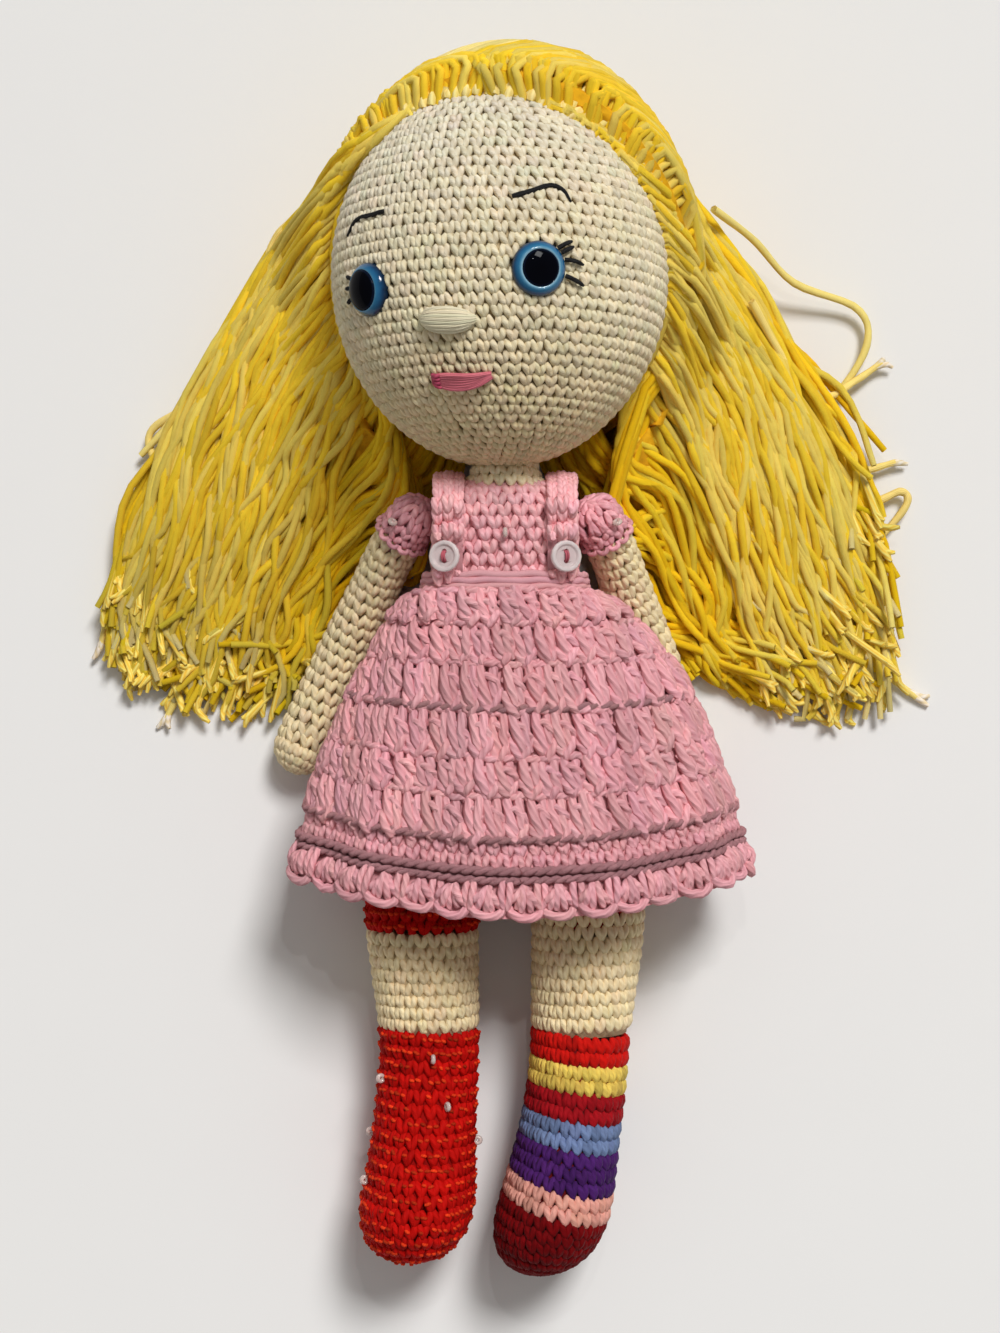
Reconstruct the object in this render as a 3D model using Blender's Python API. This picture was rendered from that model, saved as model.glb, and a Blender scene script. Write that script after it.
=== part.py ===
"""An amigurumi doll that lies on its back, with its head towards +Y and its front towards +Z.

Crocheted shells filled tight make the head, neck, torso, arms and legs. The neck nods and the head turns
on it, the arms swing at the shoulders and the legs bend at the hips. The dress is a bell skirt on a
waistband, held by two buttoned straps. The left side of the doll is at +X.
"""

import math

import bmesh
import bpy
from mathutils import Matrix, Vector

# Clearances and allowances, in metres like every size below
seam_gap = 0.0003
facet_allowance = 0.0002
cut_overrun = 0.004
flat_depth = 0.0005

# Head, an egg whose long way is Y
head_half_width = 0.039
head_half_height = 0.0445
head_half_depth = 0.0385
head_centre_x = -0.0012
chin_y = 0.0485
hair_back_thickness = 0.0085
face_yaw_deg = -18.5

# Neck, a column with a ball end in the torso
neck_radius = 0.007
neck_axis_z = 0.042
neck_ball_y = 0.0465
neck_depth_in_head = 0.0065

# Torso and hips, one stuffed tube whose colour changes at the hips
torso_top_y = 0.0465
torso_length = 0.067
torso_half_width = 0.0176
torso_half_depth = 0.014
torso_top_z = 0.040
hips_length = 0.0185
hips_half_width = 0.0315
hips_half_depth = 0.0145
torso_squareness = 3.0

# Arms
shoulder_x = 0.0222
shoulder_y = 0.038
shoulder_z = 0.033
shoulder_radius = 0.0068
arm_radius = 0.0064
hand_radius = 0.0069
arm_reach_y = 0.056
right_arm_spread = 0.0285
left_arm_spread = 0.0222
hand_height = 0.0077
sleeve_share = 0.18

# Legs
hip_pivot_x = 0.0203
hip_pivot_y = -0.044
hip_pivot_z = 0.020
leg_top_radius = 0.0137
leg_top_end = 0.018
leg_skin_end = 0.0445
leg_end = 0.102
ankle_radius = 0.0121
foot_half_width = 0.0138
foot_half_depth = 0.0195
right_foot_shift = -0.0045
left_foot_shift = -0.0105
foot_bend_power = 1.5
ankle_lean = 0.00165
ankle_sag_share = 0.35

# Dress
waist_y = 0.0231
waistband_height = 0.003
waistband_thickness = 0.0025
strap_width = 0.0074
strap_thickness = 0.0021
strap_centre_x = 0.0132
skirt_length = 0.079
skirt_thickness = 0.0022
skirt_half_width = 0.0555
skirt_half_depth = 0.0278
skirt_side_lift_share = 0.11
skirt_lean = 0.0033
fold_height = 0.0011
fold_count = 11
scallop_height = 0.0011

# Buttons, each tied on with a loop of thread through its two holes
button_radius = 0.0037
button_thickness = 0.0018
button_rim_width = 0.0009
button_dish_depth = 0.0005
button_hole_radius = 0.0006
button_hole_offset = 0.0011
button_tilt_deg = 18.0
button_drop = 0.0043
button_lean_share = 0.35
button_rim_shares = ((0.9, 0.0), (1.0, 0.35), (1.0, 0.8), (0.93, 1.0))
button_dish_share = 0.85
thread_radius = 0.00026

# Eyes, each a domed button with a shank, locked inside the head by a washer
eye_radius = 0.006
eye_dome_height = 0.0042
eye_edge_height = 0.0008
eye_seat_depth = 0.0012
pupil_radius = 0.0036
pupil_depth = 0.0012
shank_radius = 0.0016
shank_length = 0.0125
head_wall = 0.0034
shank_rib_share = 0.85
shank_tip_share = 0.6
shank_ribs = 4
washer_radius = 0.0052
washer_thickness = 0.0014
eye_azimuth_deg = 31.0
eye_elevation_deg = -8.2
eye_slant_deg = 1.6
rim_shares = (0.93, 0.8)
pupil_shares = (0.8, 0.5, 0.2)

# Embroidery on the face
nose_half_width = 0.006
nose_half_height = 0.0034
nose_half_depth = 0.0028
nose_elevation_deg = -20.5
mouth_half_width = 0.0064
mouth_half_height = 0.0021
mouth_half_depth = 0.0016
mouth_elevation_deg = -38.8
mouth_azimuth_deg = 3.0
face_thread_radius = 0.00045
thread_tip_share = 0.6
lash_gap = 0.0006
lash_length = 0.0038

# Hair
hair_top_thickness = 0.0085
hair_side_thickness = 0.0045
hair_shift_back = 0.0035
hair_shift_side = 0.0025
hairline_offset = 0.0049
hairline_yaw_deg = -13.6
hairline_pitch_deg = 36.4
hair_reach = 0.1045

# Beads
bead_radius = 0.0012
bead_tube_radius = 0.00045
bead_facets = 10
bodice_bead_share = 0.42
sleeve_bead_share = 0.45
sleeve_bead_rise_share = 1.4

# Facets
head_segments = 30
body_segments = 24
limb_segments = 18
skirt_segments = 52
hair_segments = 14
thread_segments = 5
dome_steps = 5
dome_tip_share = 0.4
small_segments = 16

# Brow routes: azimuth from the face, then elevation, in degrees
left_brow_route_deg = ((22.5, 13.9), (29.0, 16.8), (35.5, 17.9), (39.5, 16.4), (42.5, 13.4))
right_brow_route_deg = ((-23.5, 11.9), (-30.5, 12.9), (-38.5, 12.6), (-44.5, 9.3))
# Turns about the eye, from the doll's left, at which each lash starts and ends
left_lash_turns_deg = ((50.0, 55.0), (30.5, 38.0), (12.0, 10.5), (-9.0, -15.5))
right_lash_turns_deg = ((148.0, 148.0), (169.0, 169.0), (193.0, 194.0))

# Shares of the torso: way down, half width, half depth
torso_shares = (
    (0.0, 0.34, 0.34),
    (0.025, 0.66, 0.62),
    (0.075, 0.87, 0.84),
    (0.17, 0.97, 0.96),
    (0.36, 1.0, 1.0),
    (0.62, 1.0, 0.98),
    (0.82, 1.06, 0.97),
    (1.0, 1.2, 0.98),
)
# Shares of the hips: way down, half width, half depth
hips_shares = ((0.0, 0.71, 0.95), (0.3, 0.86, 1.0), (0.7, 0.97, 1.0), (1.0, 1.0, 0.97))
# Shares of the skirt: way down, half width, half depth, middle height, lean. 0 is the top's size, 1 the
# hem's. Then the squareness of its front half and of its back half.
skirt_shares = (
    (0.0, 0.0, 0.0, 0.0, 0.0, 3.0, 3.0),
    (0.05, 0.14, 0.14, 0.2, 0.3, 2.8, 2.8),
    (0.12, 0.27, 0.27, 0.4, 0.7, 2.5, 2.2),
    (0.28, 0.5, 0.52, 0.66, 1.0, 2.2, 1.7),
    (0.5, 0.71, 0.72, 0.84, 1.0, 2.1, 1.85),
    (0.75, 0.88, 0.88, 0.95, 1.0, 2.0, 2.5),
    (0.92, 0.965, 0.965, 1.0, 1.0, 2.0, 2.7),
    (1.0, 1.0, 1.0, 1.0, 1.0, 2.0, 2.8),
)
# Shares of an arm's way: out, along, down, and its radius between shoulder and hand
arm_shares = (
    (0.0, 0.0, 0.0, 1.0),
    (0.12, 0.09, 0.16, 1.0),
    (0.25, 0.21, 0.38, 0.98),
    (0.39, 0.35, 0.59, 0.96),
    (0.61, 0.56, 0.82, 0.97),
    (0.81, 0.77, 0.95, 1.0),
    (0.94, 0.93, 1.0, 1.08),
    (1.0, 1.0, 1.0, 1.06),
)
# Shares of a foot below the sock's top: way down, half width and half depth between ankle and foot
foot_shares = (
    (0.0, 0.0, 0.0),
    (0.22, 0.02, 0.02),
    (0.42, 0.25, 0.35),
    (0.6, 0.75, 0.82),
    (0.76, 1.0, 1.0),
    (0.88, 0.86, 0.9),
    (0.96, 0.2, 0.3),
)
foot_tip_share = 0.42
# Shares of the hair's reach for each side's fall: inner edge x, y, outer edge x, y, thickness
right_fall_shares = (
    (-0.16, 0.62, -0.2, 1.33, 0.5),
    (-0.22, 0.47, -0.39, 1.22, 0.41),
    (-0.3, 0.345, -0.55, 1.01, 0.27),
    (-0.375, 0.235, -0.7, 0.77, 0.18),
    (-0.435, 0.13, -0.83, 0.55, 0.13),
    (-0.47, 0.045, -0.94, 0.3, 0.09),
    (-0.5, -0.035, -1.0, 0.07, 0.055),
    (-0.6, -0.12, -0.93, -0.02, 0.03),
)
left_fall_shares = (
    (0.14, 0.6, 0.12, 1.38, 0.5),
    (0.23, 0.44, 0.36, 1.28, 0.41),
    (0.32, 0.3, 0.53, 1.09, 0.27),
    (0.39, 0.2, 0.665, 0.87, 0.18),
    (0.44, 0.11, 0.8, 0.58, 0.13),
    (0.475, 0.045, 0.885, 0.32, 0.09),
    (0.53, -0.03, 0.997, 0.04, 0.055),
    (0.66, -0.1, 0.96, -0.1, 0.03),
)
# Beads on the boot: share of the way down the boot, then turns about the leg from its front
boot_bead_shares = ((0.07, 0.02), (0.17, 0.83), (0.27, 0.07), (0.6, 0.8), (0.45, 0.24), (0.42, 0.74))

# Sizes that follow from the ones above
head_centre_y = chin_y + head_half_height
head_centre = Vector((head_centre_x, head_centre_y, hair_back_thickness + head_half_depth))
neck_pivot = Vector((0.0, neck_ball_y, neck_axis_z))
neck_top_y = chin_y + neck_depth_in_head
hips_top_y = torso_top_y - torso_length
body_slope = (torso_top_z - hip_pivot_z) / (torso_top_y - hip_pivot_y)
sides = (("right", -1.0), ("left", 1.0))
quarter_turn = math.pi / 2


def plain_material(name, colour, roughness, metallic=0.0, alpha=1.0):
    """A Principled material with the colour read from the photo."""
    material = bpy.data.materials.new(name)
    material.use_nodes = True
    shader = material.node_tree.nodes["Principled BSDF"]
    shader.inputs["Base Color"].default_value = (*colour, 1.0)
    shader.inputs["Roughness"].default_value = roughness
    shader.inputs["Metallic"].default_value = metallic
    shader.inputs["Alpha"].default_value = alpha
    material.diffuse_color = (*colour, 1.0)
    return material


def add_piece(name, bm, material, pivot=None, smooth=True):
    """A named object from a bmesh in world places, parented to its joint's empty when it moves."""
    bmesh.ops.recalc_face_normals(bm, faces=bm.faces[:])
    mesh = bpy.data.meshes.new(name)
    bm.to_mesh(mesh)
    bm.free()
    for face in mesh.polygons:
        face.use_smooth = smooth
    piece = bpy.data.objects.new(name, mesh)
    bpy.context.scene.collection.objects.link(piece)
    if material is not None:
        piece.data.materials.append(material)
    if pivot is not None:
        piece.parent = pivot
        piece.location = -world_place(pivot)
    return piece


def add_cutter(name, bm):
    """A hidden object that only cuts others."""
    cutter = add_piece(name, bm, None)
    cutter.hide_render = True
    cutter.display_type = "WIRE"
    return cutter


def cut(piece, cutter, operation="DIFFERENCE"):
    modifier = piece.modifiers.new(operation.lower() + " " + cutter.name, "BOOLEAN")
    modifier.operation = operation
    modifier.object = cutter
    modifier.solver = "EXACT"


def add_pivot(name, place, parent=None):
    """An empty on a joint's axis."""
    empty = bpy.data.objects.new(name, None)
    empty.empty_display_size = neck_radius
    bpy.context.scene.collection.objects.link(empty)
    empty.location = place
    if parent is not None:
        empty.parent = parent
        empty.location = place - world_place(parent)
    return empty


def world_place(empty):
    place = empty.location.copy()
    while empty.parent is not None:
        empty = empty.parent
        place += empty.location
    return place


def add_ring(bm, placement, half_width, half_height, segments, squareness=2.0):
    """A closed ring of edges, an ellipse or a squarer oval in the placement's own XY plane."""
    ring = bmesh.ops.create_circle(bm, cap_ends=False, segments=segments, radius=1.0)
    power = 2.0 / squareness
    for vertex in ring["verts"]:
        across = math.copysign(abs(vertex.co.x) ** power, vertex.co.x) * half_width
        along = math.copysign(abs(vertex.co.y) ** power, vertex.co.y) * half_height
        vertex.co = placement @ Vector((across, along, 0.0))
    return ring["verts"]


def join_rings(bm, rings, closed=False):
    """Skins the rings in turn, and caps the two ends or joins them."""
    following = rings[1:] + rings[:1] if closed else rings[1:]
    for first, second in zip(rings, following):
        for i in range(len(first)):
            bm.faces.new((first[i - 1], first[i], second[i], second[i - 1]))
    if not closed:
        bm.faces.new(rings[0])
        bm.faces.new(rings[-1])


def across_y(x, y, z):
    """A placement whose XY plane lies across the doll's length, with its own Y up."""
    return Matrix.Translation((x, y, z)) @ Matrix.Rotation(quarter_turn, 4, "X")


def loft_along_y(stations, segments, squareness=2.0):
    """A closed body from sections across Y: each is y, middle x, middle z, half width, half depth."""
    bm = bmesh.new()
    rings = [
        add_ring(bm, across_y(x, y, z), half_width, half_depth, segments, squareness)
        for y, x, z, half_width, half_depth in stations
    ]
    join_rings(bm, rings)
    return bm


def section_at(stations, y):
    """The middle and half sizes of a loft's section at a place along Y, between its stations."""
    for first, second in zip(stations, stations[1:]):
        if second[0] <= y <= first[0]:
            share = (first[0] - y) / (first[0] - second[0])
            return [a + (b - a) * share for a, b in zip(first, second)]
    return list(stations[0] if y > stations[0][0] else stations[-1])


def tube(points, radii, segments, closed=False):
    """A round tube along a route, with one radius at each point."""
    bm = bmesh.new()
    add_tube(bm, points, radii, segments, closed)
    return bm


def add_tube(bm, points, radii, segments, closed=False):
    rings = []
    count = len(points)
    sideways = None
    for i, point in enumerate(points):
        before = points[i - 1] if i or closed else point
        after = points[(i + 1) % count] if i + 1 < count or closed else point
        along = (after - before).normalized()
        if sideways is None:
            sideways = along.orthogonal().normalized()
        sideways = (sideways - along * sideways.dot(along)).normalized()
        upright = along.cross(sideways)
        placement = Matrix((sideways, upright, along)).transposed().to_4x4()
        placement.translation = point
        rings.append(add_ring(bm, placement, radii[i], radii[i], segments))
    join_rings(bm, rings, closed=closed)


def ball(centre, radii, segments, turn=None):
    """An egg with the given half sizes."""
    bm = bmesh.new()
    bmesh.ops.create_uvsphere(bm, u_segments=segments, v_segments=max(segments * 2 // 3, 6), radius=1.0)
    placement = Matrix.Translation(centre)
    if turn is not None:
        placement = placement @ turn.to_4x4()
    bmesh.ops.transform(bm, matrix=placement @ Matrix.Diagonal((*radii, 1.0)), verts=bm.verts[:])
    return bm


def block(low, high):
    """A box between two corners."""
    bm = bmesh.new()
    bmesh.ops.create_cube(bm, size=1.0)
    middle = (low + high) / 2
    bmesh.ops.transform(
        bm, matrix=Matrix.Translation(middle) @ Matrix.Diagonal((*(high - low), 1.0)), verts=bm.verts[:]
    )
    return bm


def turned(profile, place, normal, segments):
    """A turned body: each step of the profile is a radius and a height along the normal."""
    bm = bmesh.new()
    facing = normal.to_track_quat("Z", "Y").to_matrix().to_4x4()
    rings = [
        add_ring(bm, Matrix.Translation(place + normal * height) @ facing, radius, radius, segments)
        for radius, height in profile
    ]
    join_rings(bm, rings)
    return bm


def face_point(azimuth_deg, elevation_deg, lift=0.0):
    """A place on the head and the direction away from it, from angles about the face's middle."""
    azimuth = math.radians(face_yaw_deg + azimuth_deg)
    elevation = math.radians(elevation_deg)
    level = math.cos(elevation)
    share = Vector((math.sin(azimuth) * level, math.sin(elevation), math.cos(azimuth) * level))
    half = Vector((head_half_width, head_half_height, head_half_depth))
    place = Vector([share[i] * half[i] for i in range(3)])
    normal = Vector([share[i] / half[i] for i in range(3)]).normalized()
    return head_centre + place + normal * lift, normal


def face_frame(normal):
    """A turn whose Z leaves the face and whose Y stays towards the crown."""
    sideways = Vector((0.0, 1.0, 0.0)).cross(normal).normalized()
    return Matrix((sideways, normal.cross(sideways), normal)).transposed()


def head_egg(grow=0.0):
    radii = (head_half_width + grow, head_half_depth + grow, head_half_height + grow)
    return ball(head_centre, radii, head_segments, Matrix.Rotation(quarter_turn, 3, "X"))


def body_middle_z(y):
    return torso_top_z - (torso_top_y - y) * body_slope


def torso_stations(grow=0.0):
    """Sections of the torso from the neck down, grown outwards on all sides and at the top."""
    stations = []
    for way, width, depth in torso_shares:
        y = torso_top_y - torso_length * way
        half = (torso_half_width * width + grow, torso_half_depth * depth + grow)
        top = grow if way == 0.0 else 0.0
        stations.append((y + top, 0.0, body_middle_z(y), *half))
    return stations


def arm_points(side):
    """The places and radii along one arm, from the shoulder to the hand."""
    spread = right_arm_spread if side < 0 else left_arm_spread
    rows = []
    for out, along, down, size in arm_shares:
        place = Vector(
            (
                side * (shoulder_x + spread * out),
                shoulder_y - arm_reach_y * along,
                shoulder_z + (hand_height - shoulder_z) * down,
            )
        )
        rows.append((place, arm_radius * size))
    return rows


def leg_stations(side):
    """Sections of one leg down to its sole: y, middle x, middle z, half width, half depth."""
    shift = right_foot_shift if side < 0 else left_foot_shift
    foot_z = foot_half_depth - flat_depth
    rows = [
        (0.0, leg_top_radius, leg_top_radius),
        (leg_top_end, leg_top_radius, leg_top_radius),
        (leg_skin_end, ankle_radius, ankle_radius),
    ]
    for way, width, depth in foot_shares[1:]:
        reach = leg_skin_end + (leg_end - leg_skin_end) * way
        half_width = ankle_radius + (foot_half_width - ankle_radius) * width
        half_depth = ankle_radius + (foot_half_depth - ankle_radius) * depth
        rows.append((reach, half_width, half_depth))
    rows.append((leg_end, foot_half_width * foot_tip_share, foot_half_depth * foot_tip_share))
    stations = []
    for reach, half_width, half_depth in rows:
        share = reach / leg_end
        lean = min(max((reach - leg_top_end) / (leg_skin_end - leg_top_end), 0.0), 1.0)
        bend = max((reach - leg_skin_end) / (leg_end - leg_skin_end), 0.0) ** foot_bend_power
        x = side * (hip_pivot_x - ankle_lean * lean) + shift * bend
        z = hip_pivot_z + (foot_z - hip_pivot_z) * share - ankle_drop(share)
        stations.append((hip_pivot_y - reach, x, z, half_width, half_depth))
    return stations


def ankle_drop(share):
    """How far the ankle sags between the hip and the heel."""
    return math.sin(math.pi * min(share, 1.0)) * (hip_pivot_z - ankle_radius) * ankle_sag_share


def cut_stations(stations, top_y, bottom_y):
    """The stations between two places, with a section of its own at each end."""
    inner = [row for row in stations if bottom_y < row[0] < top_y]
    first, last = section_at(stations, top_y), section_at(stations, bottom_y)
    first[0], last[0] = top_y, bottom_y
    return [tuple(first)] + inner + [tuple(last)]


def remove_everything():
    for item in list(bpy.data.objects):
        bpy.data.objects.remove(item, do_unlink=True)


def make_materials():
    return {
        "skin_yarn": plain_material("skin_yarn", (0.78, 0.66, 0.47), 0.85),
        "pink_yarn": plain_material("pink_yarn", (0.80, 0.40, 0.45), 0.85),
        "dress_yarn": plain_material("dress_yarn", (0.78, 0.37, 0.42), 0.85),
        "red_yarn": plain_material("red_yarn", (0.58, 0.05, 0.02), 0.85),
        "sock_yarn": plain_material("sock_yarn", (0.40, 0.03, 0.04), 0.85),
        "hair_yarn": plain_material("hair_yarn", (0.85, 0.58, 0.10), 0.8),
        "eye_plastic": plain_material("eye_plastic", (0.03, 0.14, 0.30), 0.15),
        "pupil_plastic": plain_material("pupil_plastic", (0.005, 0.005, 0.007), 0.08),
        "washer_plastic": plain_material("washer_plastic", (0.75, 0.75, 0.72), 0.5),
        "button_plastic": plain_material("button_plastic", (0.82, 0.76, 0.76), 0.2),
        "bead_plastic": plain_material("bead_plastic", (0.80, 0.66, 0.66), 0.15),
        "black_thread": plain_material("black_thread", (0.02, 0.02, 0.02), 0.7),
        "mouth_thread": plain_material("mouth_thread", (0.62, 0.14, 0.22), 0.7),
        "nose_thread": plain_material("nose_thread", (0.80, 0.68, 0.47), 0.8),
        "pink_thread": plain_material("pink_thread", (0.75, 0.33, 0.42), 0.75),
    }


def make_pivots():
    nod = add_pivot("neck_nod_pivot", neck_pivot)
    turn = add_pivot("head_turn_pivot", Vector((0.0, neck_top_y, neck_axis_z)), nod)
    pivots = {"neck": nod, "head": turn}
    for word, side in sides:
        shoulder = Vector((side * shoulder_x, shoulder_y, shoulder_z))
        hip = Vector((side * hip_pivot_x, hip_pivot_y, hip_pivot_z))
        pivots[word + "_arm"] = add_pivot(word + "_arm_pivot", shoulder)
        pivots[word + "_leg"] = add_pivot(word + "_leg_pivot", hip)
    return pivots


def make_floor_cutter():
    reach = Vector((hair_reach, torso_length + leg_end, 0.0)) * 2
    depth = Vector((0.0, 0.0, cut_overrun))
    return add_cutter("cut_floor", block(-reach - depth, reach))


def eye_place(side):
    return face_point(side * eye_azimuth_deg, eye_elevation_deg + side * eye_slant_deg, -eye_seat_depth)


def make_head(materials, pivots):
    head = add_piece("head", head_egg(), materials["skin_yarn"], pivots["head"])
    bore_radius = neck_radius + seam_gap
    bore_top = neck_top_y + seam_gap
    bore = [
        (chin_y - cut_overrun, 0.0, neck_axis_z, bore_radius, bore_radius),
        (bore_top, 0.0, neck_axis_z, bore_radius, bore_radius),
    ]
    cut(head, add_cutter("cut_neck_bore", loft_along_y(bore, limb_segments)))
    for word, side in sides:
        cut(head, add_cutter(f"cut_{word}_eye", eye_pocket(*eye_place(side))))
    return head


def eye_pocket(place, normal):
    """The seat, shank bore and washer pocket of one eye, as one stepped body."""
    seat, bore, room = eye_radius + seam_gap, shank_radius + seam_gap, washer_radius + seam_gap
    inner = -head_wall
    back = inner - washer_thickness - seam_gap * 2
    end = -shank_length - seam_gap
    profile = (
        (seat, eye_dome_height), (seat, -seam_gap), (bore, -seam_gap), (bore, inner),
        (room, inner), (room, back), (bore, back), (bore, end),
    )
    return turned(profile, place, normal, small_segments)


def make_eye(word, side, materials, pivot):
    """One safety eye: a domed rim with a ribbed shank, the pupil set in it, and the washer that locks it."""
    place, normal = eye_place(side)
    rib = shank_radius * shank_rib_share
    pitch = (shank_length - head_wall) / (shank_ribs * 2)
    profile = [(shank_radius * shank_tip_share, -shank_length)]
    for i in range(shank_ribs):
        height = -shank_length + pitch * (i * 2 + 1)
        profile += [(shank_radius, height), (rib, height + pitch)]
    profile += [(rib, 0.0), (eye_radius, 0.0), (eye_radius, eye_edge_height)]
    rim_radius = pupil_radius + seam_gap
    rise = eye_dome_height - eye_edge_height
    for share in rim_shares:
        profile.append((eye_radius * share, eye_edge_height + rise * math.sqrt(1.0 - share * share)))
    rim_share = rim_radius / eye_radius
    rim_height = eye_edge_height + rise * math.sqrt(1.0 - rim_share * rim_share)
    profile += [(rim_radius, rim_height), (rim_radius, rim_height - pupil_depth - seam_gap)]
    add_piece(word + "_eye", turned(profile, place, normal, small_segments), materials["eye_plastic"], pivot)
    floor_height = rim_height - pupil_depth
    pupil = [(pupil_radius, floor_height), (pupil_radius, rim_height)]
    for share in pupil_shares:
        across = share * rim_share
        pupil.append((pupil_radius * share, eye_edge_height + rise * math.sqrt(1.0 - across * across)))
    shape = turned(pupil, place, normal, small_segments)
    add_piece(word + "_pupil", shape, materials["pupil_plastic"], pivot)
    add_washer(word, place, normal, materials, pivot)


def add_washer(word, place, normal, materials, pivot):
    """The locking washer: a ring round the shank, behind the head's wall."""
    bm = bmesh.new()
    facing = normal.to_track_quat("Z", "Y").to_matrix().to_4x4()
    top = -head_wall - seam_gap
    low = top - washer_thickness
    hole = shank_radius + seam_gap
    corners = ((hole, low), (washer_radius, low), (washer_radius, top), (hole, top))
    rings = [
        add_ring(bm, Matrix.Translation(place + normal * height) @ facing, radius, radius, small_segments)
        for radius, height in corners
    ]
    join_rings(bm, rings, closed=True)
    add_piece(word + "_eye_washer", bm, materials["washer_plastic"], pivot)


def make_face(materials, pivots):
    pivot = pivots["head"]
    clear = add_cutter("cut_head_clear", head_egg(seam_gap))
    place, normal = face_point(0.0, nose_elevation_deg)
    half = (nose_half_width, nose_half_height, nose_half_depth)
    shape = ball(place, half, small_segments, face_frame(normal))
    nose = add_piece("nose", shape, materials["nose_thread"], pivot)
    cut(nose, clear)
    place, normal = face_point(mouth_azimuth_deg, mouth_elevation_deg)
    half = (mouth_half_width, mouth_half_height, mouth_half_depth)
    shape = ball(place, half, small_segments, face_frame(normal))
    mouth = add_piece("mouth", shape, materials["mouth_thread"], pivot)
    cut(mouth, clear)
    lift = face_thread_radius + seam_gap
    for word, route in (("left", left_brow_route_deg), ("right", right_brow_route_deg)):
        points = [face_point(azimuth, elevation, lift)[0] for azimuth, elevation in route]
        add_stitch(word + "_brow", points, materials, pivot)
    for (word, side), turns in zip(sides, (right_lash_turns_deg, left_lash_turns_deg)):
        for i, (first, last) in enumerate(turns):
            start = eye_radius + lash_gap
            points = [beside_eye(side, first, start, lift), beside_eye(side, last, start + lash_length, lift)]
            add_stitch(f"{word}_lash_{i + 1}", points, materials, pivot)
    return clear


def beside_eye(side, turn_deg, reach, lift):
    """A place on the head at a distance from an eye's middle, in a direction about the eye."""
    place, normal = face_point(side * eye_azimuth_deg, eye_elevation_deg + side * eye_slant_deg)
    sideways, upright, _ = face_frame(normal).transposed()
    turn = math.radians(turn_deg)
    offset = place + (sideways * math.cos(turn) + upright * math.sin(turn)) * reach - head_centre
    half = (head_half_width, head_half_height, head_half_depth)
    share = Vector([offset[i] / half[i] for i in range(3)]).normalized()
    away = Vector([share[i] / half[i] for i in range(3)]).normalized()
    return head_centre + Vector([share[i] * half[i] for i in range(3)]) + away * lift


def add_stitch(name, points, materials, pivot):
    """A thread laid on the face, thinner at its end."""
    radii = [face_thread_radius] * len(points)
    radii[-1] = face_thread_radius * thread_tip_share
    add_piece(name, tube(points, radii, thread_segments), materials["black_thread"], pivot)


def make_neck(materials, pivots):
    """The neck: a ball that nods in the torso, and a column that the head turns on."""
    stations = [(neck_top_y, 0.0, neck_axis_z, neck_radius, neck_radius)]
    for i in range(dome_steps):
        angle = quarter_turn * i / dome_steps
        radius = neck_radius * math.cos(angle)
        stations.append((neck_ball_y - neck_radius * math.sin(angle), 0.0, neck_axis_z, radius, radius))
    add_piece("neck", loft_along_y(stations, limb_segments), materials["skin_yarn"], pivots["neck"])


def make_torso(materials):
    shape = loft_along_y(torso_stations(), body_segments, torso_squareness)
    torso = add_piece("torso", shape, materials["pink_yarn"])
    socket = (neck_radius + seam_gap + facet_allowance,) * 3
    cut(torso, add_cutter("cut_neck_socket", ball(neck_pivot, socket, limb_segments)))
    shoulder_cutters = {}
    for word, side in sides:
        place = Vector((side * shoulder_x, shoulder_y, shoulder_z))
        size = (shoulder_radius + seam_gap + facet_allowance,) * 3
        cutter = add_cutter(f"cut_{word}_shoulder", ball(place, size, limb_segments))
        cut(torso, cutter)
        shoulder_cutters[word] = cutter
    make_hips(materials)
    return shoulder_cutters


def make_hips(materials):
    stations = []
    for way, width, depth in hips_shares:
        y = hips_top_y - seam_gap - hips_length * way
        stations.append((y, 0.0, body_middle_z(y), hips_half_width * width, hips_half_depth * depth))
    shape = loft_along_y(stations, body_segments, torso_squareness)
    hips = add_piece("underpants", shape, materials["red_yarn"])
    groove = leg_top_radius + seam_gap + facet_allowance
    ends = (hip_pivot_x - groove, hips_half_width + cut_overrun)
    for word, side in sides:
        route = [Vector((side * end, hip_pivot_y, hip_pivot_z)) for end in ends]
        cut(hips, add_cutter(f"cut_{word}_leg_groove", tube(route, [groove, groove], body_segments)))


def arm_place(rows, length):
    """The middle and radius of an arm at a length along its way."""
    for i, (first, second) in enumerate(zip(rows, rows[1:])):
        step = (second[0] - first[0]).length
        if length <= step or i == len(rows) - 2:
            share = length / step
            return first[0].lerp(second[0], share), first[1] + (second[1] - first[1]) * share
        length -= step


def round_end(middle, outward, radius):
    """The points and radii of a ball's half at the end of a tube, from its tip to its full size."""
    rows = []
    for i in range(dome_steps):
        angle = quarter_turn * (dome_steps - i - dome_tip_share) / dome_steps
        rows.append((middle + outward * radius * math.sin(angle), radius * math.cos(angle)))
    return rows


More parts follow.
